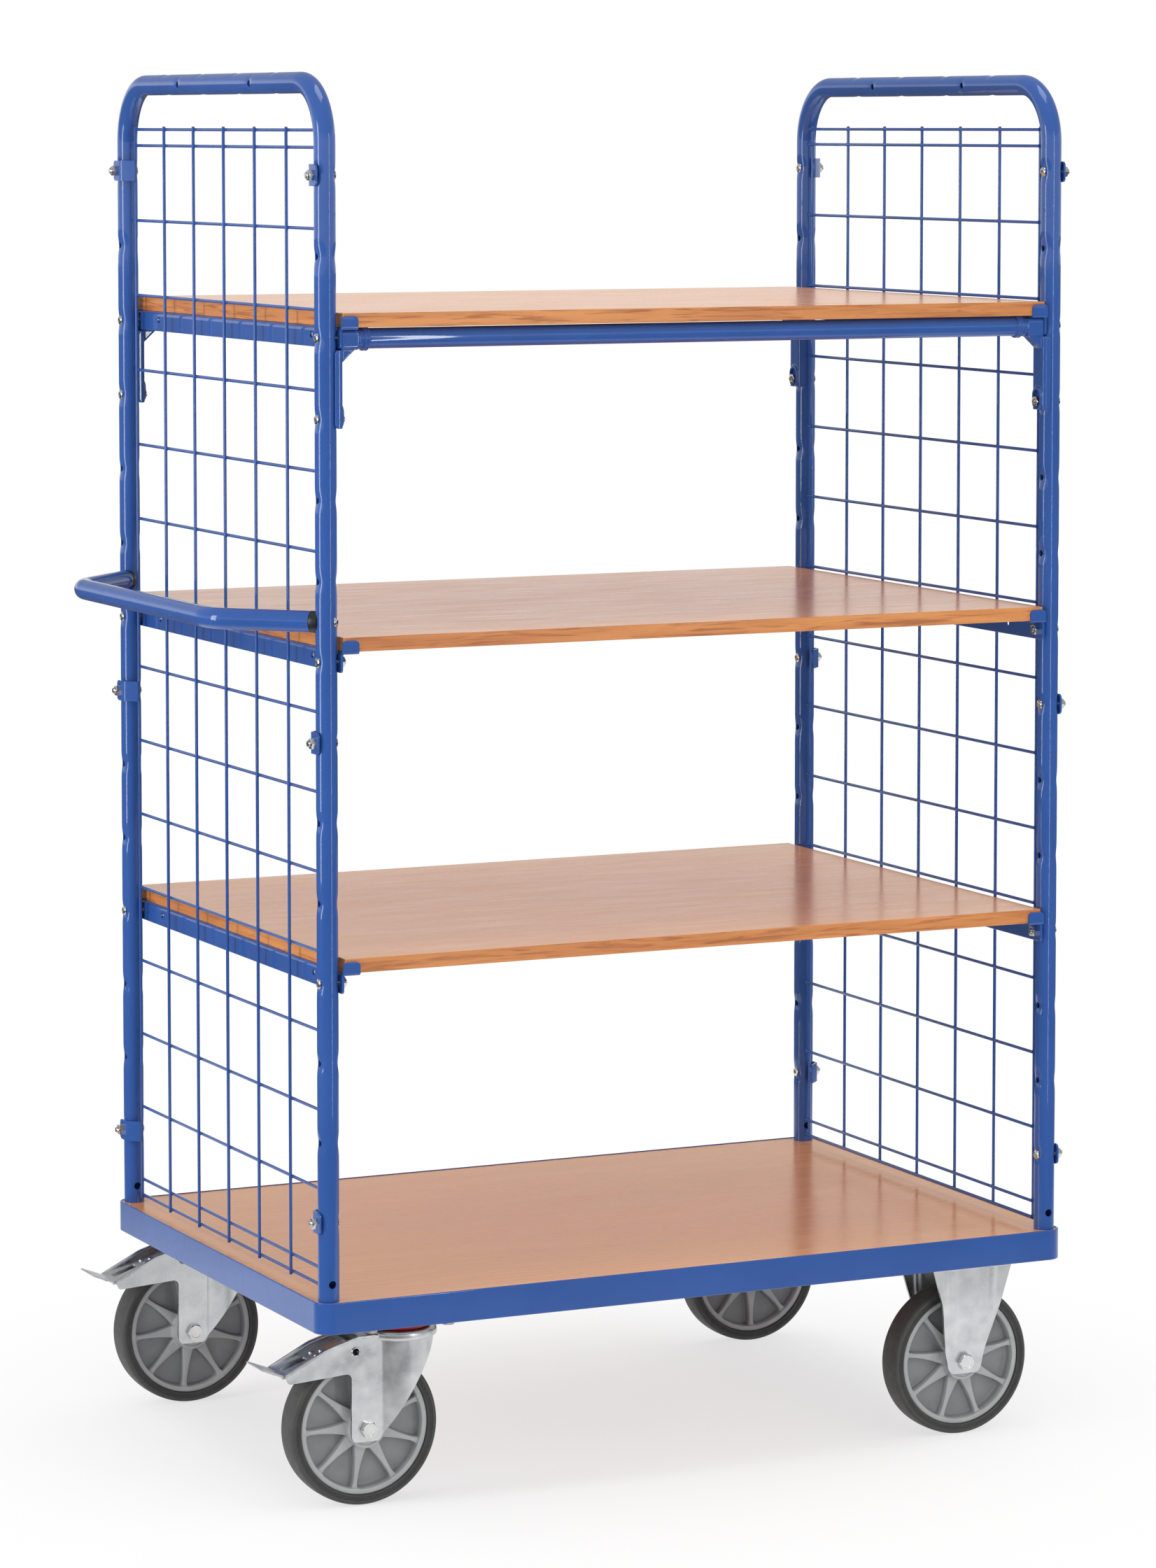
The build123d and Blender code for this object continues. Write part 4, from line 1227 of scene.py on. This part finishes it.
def wheel_rows():
    """Rows from the bore to the tyre: a radius and a function from spoke share to height."""
    def fixed(height):
        """Height that is the same at every spoke share."""
        return lambda share: height

    def rising(level, part):
        """Height part of the way from the web or the spoke to a level."""
        def height(share):
            base = web_height + (spoke_height - web_height) * share
            return base + (level - base) * part
        return height

    rows = [(radius, fixed(height)) for radius, height in hub_rows]
    rows += [(radius, rising(hub_height, part)) for radius, part in hub_foot]
    rows += [(radius, rising(0.0, 0.0)) for radius in open_rows]
    rows += [(radius, rising(ring_height, part)) for radius, part in ring_foot]
    return rows + [(radius, fixed(height)) for radius, height in ring_rows]


def wheel_moulding(name):
    """Hub, web, nine concave spokes and ring as one moulded body."""
    centre = pivots[f"{name}_wheel"]
    first = math.radians(rolled[name])
    rows = wheel_rows()
    rings, highlight_shares = [], []
    for outward, ordered in ((-1, rows), (1, rows[::-1])):
        for radius, height in ordered:
            columns = spoke_columns(max(radius, hub_radius))
            ring = []
            for spoke in range(spoke_count):
                turn = first + spoke * 2 * math.pi / spoke_count
                for angle, share in columns:
                    level = height(share)
                    across = Vector((math.cos(turn + angle), 0.0, math.sin(turn + angle)))
                    ring.append(centre + radius * across + Vector((0.0, outward * level, 0.0)))
                    # Share of painted highlight, growing with the height above the web
                    highlight_share = (level - web_height - highlight_start) / highlight_span
                    highlight_shares.append(min(1.0, max(0.0, highlight_share)))
            rings.append(ring)
    mesh = skin(bmesh.new(), rings, closed=True)
    # Each point carries its share of painted highlight, which the rim plastic's colour reads
    raised_highlight = mesh.verts.layers.float.new("raised_highlight")
    for vertex, share in zip(mesh.verts, highlight_shares):
        vertex[raised_highlight] = share
    piece(f"{name}_wheel_moulding", mesh, "rim_plastic", f"{name}_wheel", f"{name}_wheel_rim", sharp=50.0)


def tyre(name):
    """Tread ring with rounded shoulders, a crown and fine grooves round both side walls."""
    half = tyre_half_width
    wall = [(rim_radius + beyond, half - depth) for beyond, depth in tyre_lip]
    for groove in side_grooves:
        wall += [(groove - groove_half, half), (groove - groove_half / 2, half - groove_depth),
                 (groove + groove_half / 2, half - groove_depth), (groove + groove_half, half)]
    shoulder = wheel_radius - tyre_shoulder
    for part in range(shoulder_parts + 1):
        angle = math.radians(round_step * part)
        wall.append((shoulder + (tyre_shoulder - crown_rise) * math.sin(angle),
                     half - tyre_shoulder * (1 - math.cos(angle))))
    wall += [(wheel_radius - drop, across) for drop, across in tyre_crown]
    profile = wall + [(radius, -across) for radius, across in reversed(wall)]
    put = facing(pivots[f"{name}_wheel"], y_axis)
    mesh = turned(bmesh.new(), put, profile, tyre_sides, closed=True)
    piece(f"{name}_tread", mesh, "tyre_grey", f"{name}_wheel", f"{name}_tyre", sharp=50.0)


# Swivel casters: distances along from the axle and heights above it, some with a rounding radius
fork_outline = [
    (-112.0, 78.0, 1.0),
    (-107.0, 67.0, 4.0),
    (-22.0, 73.0, 7.0),
    (-22.0, -16.0, 8.0),
    (15.0, -16.0, 8.0),
    (98.5, arm_top - 4.0, 0.0),
    (30.0, arm_top - 4.0, 0.0),
    (10.0, arm_top, 8.0),
    (-12.0, arm_top, 20.0),
    (-57.0, 106.0, 40.0),
]
roll_line = [(-110.0, 76.3), (-57.0, 103.2), (-12.0, arm_top - 2.6), (22.0, arm_top - 2.4)]
tread_line = [(-114.0, 77.5), (-21.0, 109.5)]
pedal_outline = [(-9.0, 106.5, 3.0), (-9.0, 94.0, 3.0), (-24.0, 91.0, 3.0), (-114.0, 73.5, 0.0),
                 (*tread_line[0], 0.0), (*tread_line[1], 3.0)]
pedal_hollow = [(-4.0, 110.0), (-4.0, 60.0), (-120.0, 60.0), (-120.0, 72.7), (-21.0, 106.8), (-12.0, 106.8)]
pedal_tab = [(-110.0, 76.0, 0.0), (-112.5, 75.5, 6.0), (-142.0, 87.0, 1.0), (-142.0, 89.6, 1.0),
             (-113.0, 78.4, 4.0), (-108.0, 79.6, 0.0)]
# Bumps and slot of the pedal: distances along and across from the middle of the axle
pedal_bumps = [(-50.0, 0.0), (-60.0, -9.0), (-60.0, 9.0)]
pedal_slot = [(-106.0, -7.0), (-72.0, -7.0), (-72.0, 7.0), (-106.0, 7.0)]
# Pedal rivet: radius and height above the fork's face
rivet_profile = [(rivet_bore, -rivet_depth), (rivet_bore, 0.5), (rivet_bore + 0.5, 1.2),
                 (rivet_bore + 1.1, 1.4), (rivet_bore + 1.7, 0.9), (rivet_bore + 1.9, 0.0),
                 (rivet_drill, -0.5), (rivet_drill, -rivet_depth)]


def from_axle(axle, points):
    """Outline seen from the side, from distances along from an axle and heights above it."""
    return [(axle.x + along, axle.z + rise) for along, rise in points]


def arc(centre_x, centre_y, radius, start, finish, count):
    """Points along an arc between two angles in degrees."""
    points = []
    for part in range(count + 1):
        angle = math.radians(start + (finish - start) * part / count)
        points.append((centre_x + radius * math.cos(angle), centre_y + radius * math.sin(angle)))
    return points


def fork_plan(trail, tip):
    """Plan of the wall that runs from one arm round the back of the head to the other arm."""
    across = fork_outer + fork_kink
    kink_x = trail - math.sqrt((fork_back + fork_kink) ** 2 - across ** 2)
    lean = math.degrees(math.atan2(across, trail - kink_x))
    outline = []
    for inset, order in ((0.0, 1), (fork_outer - fork_inner, -1)):
        face = fork_outer - inset
        path = [(tip, -face)]
        path += arc(kink_x, -across, fork_kink + inset, 90, lean, kink_parts)
        path += arc(trail, 0.0, fork_back - inset, 180 + lean, 540 - lean, back_parts)
        path += arc(kink_x, across, fork_kink + inset, -lean, -90, kink_parts)
        path.append((tip, face))
        outline += path[::order]
    return outline


def pivot_drill(side):
    """Bar through both arms at the pedal's pivot."""
    pivot = pivots[f"{side}_brake"]
    reach = Vector((0.0, 2 * fork_outer, 0.0))
    return rod(bmesh.new(), pivot - reach, pivot + reach, rivet_drill)


def swivel_fork(side):
    """Pressed fork: arms and legs rounded into the head, a rolled top edge along each arm."""
    body = f"{side}_swivel"
    axle = pivots[f"{side}_left_wheel"]
    trail = pivots[body].x - axle.x
    wall, limit, saddle, rolls = blanks(4)
    plan = [(axle.x + along, axle.y + across) for along, across in fork_plan(trail, arm_tip)]
    foot, crest = wall_reach
    prism(wall, plan, axle.z + foot, axle.z + crest, in_plan)
    outline = from_axle(axle, rounded(fork_outline))
    prism(limit, outline, axle.y - limit_half, axle.y + limit_half, from_side)
    wall = combine(wall, limit, "INTERSECT")
    under, top = head_levels
    lower, upper = head_roundings
    profile = rounded([(king_bore, under, 0.0), (head_radius, under, lower), (head_radius, top, upper),
                       (king_bore, top, 0.0)])
    put = facing((axle.x + trail, axle.y, axle.z), z_axis)
    head = turned(bmesh.new(), put, profile, head_sides, closed=True)
    first, last = saddle_span
    low, high = under + saddle_rise, arm_top - saddle_drop
    corners = rounded([(first, low, 0.0), (last, low, 0.0), (last, high, 0.0), (first, high, saddle_corner)])
    prism(saddle, from_axle(axle, corners), axle.y - saddle_half, axle.y + saddle_half, from_side)
    for outward in (-1, 1):
        y = axle.y + outward * (fork_outer - roll_inset)
        line = [Vector((x, y, z)) for x, z in from_axle(axle, roll_line)]
        route = bent_route(line, roll_bend, tube_step)
        skin(rolls, [section(*place, y_axis, roll_radius, roll_sides, no_dent) for place in route])
    mesh = combine(unite(wall, rolls, saddle, head), pivot_drill(side), "DIFFERENCE")
    piece(f"{side}_fork_pressing", mesh, "fork_zinc", body, f"{side}_swivel_fork", rounding=pressing_edge)


def axle_fasteners(bolts, nuts, axle):
    """Hexagon bolt through the legs of a fork and the nut on its far end."""
    length = 2 * fork_outer + axle_nut_height + bolt_end
    hex_bolt(bolts, axle - y_axis * fork_outer, -y_axis, axle_flats, axle_head, axle_radius, length)
    hex_nut(nuts, axle + y_axis * fork_outer, y_axis, axle_flats, axle_nut_height, axle_radius)


def swivel_fittings(side):
    """Axle bolt and nut, and the hollow rivets of the pedal."""
    body = f"{side}_swivel"
    bolt, nut, rivets = blanks(3)
    axle_fasteners(bolt, nut, pivots[f"{side}_left_wheel"])
    pivot = pivots[f"{side}_brake"]
    for outward in (-y_axis, y_axis):
        put = facing(pivot + outward * fork_outer, outward)
        turned(rivets, put, rivet_profile, rivet_sides, closed=True)
    piece(f"{side}_axle_hex_bolt", bolt, "bolt_zinc", body, f"{side}_axle_bolt", sharp=25.0)
    piece(f"{side}_axle_hex_nut", nut, "bolt_zinc", body, f"{side}_axle_nut", sharp=25.0)
    piece(f"{side}_hollow_rivets", rivets, "bolt_zinc", body, f"{side}_pedal_rivets")


def brake_pedal(side):
    """Channel-shaped pedal with a slotted tread, pressed bumps and a bent-up end tab."""
    axle = pivots[f"{side}_left_wheel"]
    near, far = axle.y - pedal_half, axle.y + pedal_half
    channel, hollow, tab, bumps, slot = blanks(5)
    prism(channel, from_axle(axle, rounded(pedal_outline)), near, far, from_side)
    prism(hollow, from_axle(axle, pedal_hollow), near + pedal_sheet, far - pedal_sheet, from_side)
    mesh = combine(channel, hollow, "DIFFERENCE")
    prism(tab, from_axle(axle, rounded(pedal_tab)), near, far, from_side)
    for along, across in pedal_bumps:
        level = interpolate(along, tread_line) - bump_sink
        place = Matrix.Translation((axle.x + along, axle.y + across, axle.z + level))
        lump = place @ Matrix.Diagonal((*bump_size, 1.0))
        bmesh.ops.create_icosphere(bumps, subdivisions=3, radius=1.0, matrix=lump)
    mesh = unite(mesh, tab, bumps)
    opening = rounded([(axle.x + along, axle.y + across, slot_corner) for along, across in pedal_slot])
    low, high = slot_reach
    prism(slot, opening, axle.z + low, axle.z + high, in_plan)
    mesh = combine(mesh, unite(slot, pivot_drill(side)), "DIFFERENCE")
    node = f"{side}_brake_pedal"
    piece(f"{side}_pedal_pressing", mesh, "fork_zinc", f"{side}_brake", node, rounding=pressing_edge)


def swivel_seals():
    """Red ring under the top plate of each swivel caster."""
    low, high = span("swivel_seals")
    inner, outer = seal_radii
    lower, upper = seal_roundings
    profile = rounded([(inner, low.z, 0.0), (outer, low.z, lower), (outer, high.z, upper),
                       (inner, high.z, 0.0)])
    mesh = bmesh.new()
    for side in sides:
        centre = pivots[f"{side}_swivel"]
        turned(mesh, facing((centre.x, centre.y, 0.0), z_axis), profile, seal_sides, closed=True)
    piece("seal_rings", mesh, "seal_red", "trolley", "swivel_seals")


# Fixed casters
# Half width, outward lean, distance of the flutes from the middle and their height, by height above the axle
fixed_toe = [(-16.0, 15.0), (-15.3, 18.4), (-13.4, 21.4), (-10.4, 23.5), (-7.0, 24.8)]
fixed_widths = [*fixed_toe, (78.0, 43.0), (134.0, 59.0)]
fixed_lean = [(8.0, 0.0), (14.0, 0.45), (20.0, 1.75), (74.0, 17.3), (80.0, 18.6), (86.0, 19.2),
              (134.0, 21.0)]
flute_line = [(14.0, 24.0), (80.0, 29.0), (134.0, 30.5)]
flute_height = [(6.0, 0.0), (24.0, 1.6), (60.0, 3.0), (134.0, 3.4)]


def leg_offset(along, height):
    """Outward offset of a fixed leg: its lean, two flutes and the bend under the plate."""
    place = interpolate(height, flute_line)
    relief = interpolate(height, flute_height) * math.exp(-((abs(along) - place) / flute_width) ** 2)
    near_top = max(0.0, height - fixed_bend_start)
    bend = fixed_bend - math.sqrt(fixed_bend ** 2 - near_top ** 2)
    return interpolate(height, fixed_lean) + relief + bend


def fixed_fork(side):
    """Plate and two fluted legs pressed from one sheet."""
    axle = pivots[f"{side}_right_wheel"]
    low, high = span(f"{side}_fixed_fork")
    heights = [height for height, half in fixed_toe]
    heights += range(0, int(fixed_bend_start), fixed_row_step)
    heights += [fixed_bend_start + rise for rise in fixed_bend_rows]
    corners = rectangle(low, high, 0.0, plate_corner)
    mesh = prism(bmesh.new(), corners, axle.z + plate_level, high.z, in_plan)
    for outward in (-1, 1):
        rings = []
        for height in heights:
            half = interpolate(height, fixed_widths)
            steps = [half * (part / fixed_columns - 1) for part in range(2 * fixed_columns + 1)]
            outer = [(along, fork_outer + leg_offset(along, height)) for along in steps]
            inner = [(along, fork_inner + leg_offset(along, height)) for along in reversed(steps)]
            ring = [axle + Vector((along, outward * across, height)) for along, across in outer + inner]
            rings.append(ring)
        mesh = combine(mesh, skin(bmesh.new(), rings), "UNION")
    piece(f"{side}_fixed_fork_pressing", mesh, "fork_zinc", "trolley", f"{side}_fixed_fork", sharp=45.0)


def fixed_axles():
    """Axle bolts and nuts of both fixed casters."""
    bolts, nuts = blanks(2)
    for side in sides:
        axle_fasteners(bolts, nuts, pivots[f"{side}_right_wheel"])
    piece("fixed_axle_hex_bolts", bolts, "bolt_zinc", "trolley", "fixed_axle_bolts", sharp=25.0)
    piece("fixed_axle_hex_nuts", nuts, "bolt_zinc", "trolley", "fixed_axle_nuts", sharp=25.0)


def plate_bolts():
    """Hexagon bolts that hold the caster plates from below."""
    mesh = bmesh.new()
    down = (0.0, 0.0, -1.0)
    half_along, half_across = plate_pattern
    for side in sides:
        for kind, centre in (("swivel", pivots[f"{side}_swivel"]), ("fixed", pivots[f"{side}_right_wheel"])):
            for along in (-half_along, half_along):
                for across in (-half_across, half_across):
                    face = Vector((centre.x + along, centre.y + across, plate_under[kind]))
                    hex_bolt(mesh, face, down, plate_bolt_flats, plate_bolt_head, plate_bolt_radius,
                             plate_bolt_length)
    piece("plate_hex_bolts", mesh, "bolt_zinc", "trolley", "caster_plate_bolts", sharp=25.0)


def carried_over():
    """Finish of the CAD nodes that are shown as they are."""
    finishes = {
        "deck_board": "beech_board",
        "caster_plate_nuts": "bolt_zinc",
        "fixed_axle_sleeves": "bolt_zinc",
    }
    for side in sides:
        finishes[f"{side}_swivel_plate"] = "fork_zinc"
        finishes[f"{side}_axle_sleeve"] = "bolt_zinc"
    for node, slot in finishes.items():
        obj = frame["nodes"][node]
        for place in obj.material_slots:
            place.material = looks[slot][0]


platform()
for shelf in shelf_holes:
    shelf_panel(shelf)
    for end_name in ends:
        shelf_rail(shelf, end_name)
for end_name in ends:
    hoop(end_name)
    mesh_wall(end_name)
    mesh_clamps(end_name)
    for side_name in sides:
        bracket(end_name, side_name)
frame_fasteners()
push_handle()
for side_name in sides:
    cross_tube(side_name)
    swivel_fork(side_name)
    swivel_fittings(side_name)
    brake_pedal(side_name)
    fixed_fork(side_name)
for wheel in rolled:
    wheel_moulding(wheel)
    tyre(wheel)
swivel_seals()
fixed_axles()
plate_bolts()
carried_over()


# Camera, floor and light, in metres
plain_white = (1.0, 1.0, 1.0, 1.0)
floor_grey = (0.86, 0.86, 0.86, 1.0)
card_sides = 64


def set_camera():
    """Camera of the photograph."""
    data = bpy.data.cameras.new("camera")
    data.sensor_width = camera_sensor
    data.lens = camera_lens
    data.shift_y = camera_shift
    data.clip_end = camera_far
    camera = bpy.data.objects.new("camera", data)
    camera.location = camera_place
    camera.rotation_euler = (math.radians(camera_tilt), 0.0, math.radians(camera_turn))
    scene.collection.objects.link(camera)
    scene.camera = camera


def calculate(tree, operation, first, second):
    """Result of an operation on two values."""
    node = tree.nodes.new("ShaderNodeMath")
    node.operation = operation
    tree.links.new(first, node.inputs[0])
    tree.links.new(second, node.inputs[1])
    return node.outputs["Value"]


def seen_directly(tree):
    """Share that is 1 for rays that show the background: seen straight, mirrored or refracted."""
    path = add(tree, "ShaderNodeLightPath")
    share = path.outputs["Is Camera Ray"]
    for kind in ("Is Glossy Ray", "Is Transmission Ray"):
        share = calculate(tree, "MAXIMUM", share, path.outputs[kind])
    return share


def blend(tree, share, first, second):
    """Mix of two shaders by a share."""
    mix = tree.nodes.new("ShaderNodeMixShader")
    tree.links.new(share, mix.inputs[0])
    tree.links.new(first.outputs[0], mix.inputs[1])
    tree.links.new(second.outputs[0], mix.inputs[2])
    return mix


def set_world(ambient):
    """White background that also lights the object from all sides."""
    world = bpy.data.worlds.new("studio")
    world.use_nodes = True
    tree = world.node_tree
    tree.nodes.clear()
    white = add(tree, "ShaderNodeBackground", {"Color": plain_white, "Strength": 1.0})
    soft = add(tree, "ShaderNodeBackground", {"Color": plain_white, "Strength": ambient})
    shown = blend(tree, seen_directly(tree), soft, white)
    add(tree, "ShaderNodeOutputWorld", {}, {"Surface": shown.outputs[0]})
    scene.world = world


def distance_from_middle(tree):
    """Distance of a place from the middle of its own object."""
    place = add(tree, "ShaderNodeTexCoord").outputs["Object"]
    length = tree.nodes.new("ShaderNodeVectorMath")
    length.operation = "LENGTH"
    tree.links.new(place, length.inputs[0])
    return length.outputs["Value"]


def bare_material(name):
    """New material without nodes, and its node tree."""
    material = bpy.data.materials.new(name)
    material.use_nodes = True
    material.node_tree.nodes.clear()
    return material, material.node_tree


def studio_object(name, mesh, material):
    """Object of the studio from a mesh in metres."""
    data = bpy.data.meshes.new(name)
    mesh.to_mesh(data)
    mesh.free()
    data.materials.append(material)
    obj = bpy.data.objects.new(name, data)
    scene.collection.objects.link(obj)
    return obj


def set_card(name, place, inner, outer, tones, fade):
    """Level ring that stands in for a studio's dim ceiling or dark outer floor, seen only in reflections."""
    mesh = bmesh.new()
    angles = [2 * math.pi * index / card_sides for index in range(card_sides)]
    rows = []
    for radius in (inner, outer):
        points = [(radius * math.cos(angle), radius * math.sin(angle), 0.0) for angle in angles]
        rows.append([mesh.verts.new(point) for point in points])
    for index in range(card_sides):
        mesh.faces.new((rows[0][index - 1], rows[0][index], rows[1][index], rows[1][index - 1]))
    material, tree = bare_material(name)
    tone = map_range(tree, distance_from_middle(tree), *fade, *tones)
    glow = add(tree, "ShaderNodeEmission", {"Color": plain_white}, {"Strength": tone})
    add(tree, "ShaderNodeOutputMaterial", {}, {"Surface": glow.outputs[0]})
    card = studio_object(name, mesh, material)
    card.location = place
    card.visible_camera = False
    card.visible_diffuse = False
    card.visible_shadow = False


def set_floor(half_size, near_white, fade):
    """White floor that keeps the object's shadow and fades to plain white further off."""
    mesh = bmesh.new()
    corners = [(-1, -1), (1, -1), (1, 1), (-1, 1)]
    mesh.faces.new([mesh.verts.new((x * half_size, y * half_size, 0.0)) for x, y in corners])
    material, tree = bare_material("floor_white")
    faded = map_range(tree, distance_from_middle(tree), *fade, near_white, 1.0)
    share = calculate(tree, "MULTIPLY", faded, seen_directly(tree))
    diffuse = add(tree, "ShaderNodeBsdfDiffuse", {"Color": floor_grey})
    white = add(tree, "ShaderNodeEmission", {"Color": plain_white, "Strength": 1.0})
    shown = blend(tree, share, diffuse, white)
    add(tree, "ShaderNodeOutputMaterial", {}, {"Surface": shown.outputs[0]})
    floor = studio_object("floor", mesh, material)


def set_lamp(name, place, target, width, height, power):
    """Rectangular soft light that faces a target."""
    data = bpy.data.lights.new(name, "AREA")
    data.shape = "RECTANGLE"
    data.size = width
    data.size_y = height
    data.energy = power
    lamp = bpy.data.objects.new(name, data)
    lamp.location = place
    lamp.rotation_mode = "QUATERNION"
    lamp.rotation_quaternion = (Vector(target) - Vector(place)).to_track_quat("-Z", "Y")
    lamp.visible_camera = False
    scene.collection.objects.link(lamp)


set_camera()
set_world(ambient=0.9)
set_floor(half_size=60.0, near_white=0.64, fade=(0.45, 1.1))
set_card("dim_ceiling", (0.0, 0.0, 8.0), inner=0.1, outer=46.0, tones=(0.42, 0.95), fade=(22.0, 46.0))
set_card("dark_outer_floor", (0.5, 0.5, 0.004), inner=1.5, outer=60.0, tones=(0.9, 0.1), fade=(1.5, 2.1))
set_lamp("key", (-3.7, -0.25, 1.5), target=(0.0, 0.0, 1.0), width=0.75, height=2.4, power=46.0)
set_lamp("strip", (0.7, -2.7, 1.2), target=(0.0, 0.0, 1.1), width=0.09, height=2.4, power=10.5)
set_lamp("top", (0.3, -0.6, 7.0), target=(0.0, 0.0, 0.0), width=3.6, height=2.8, power=105.0)
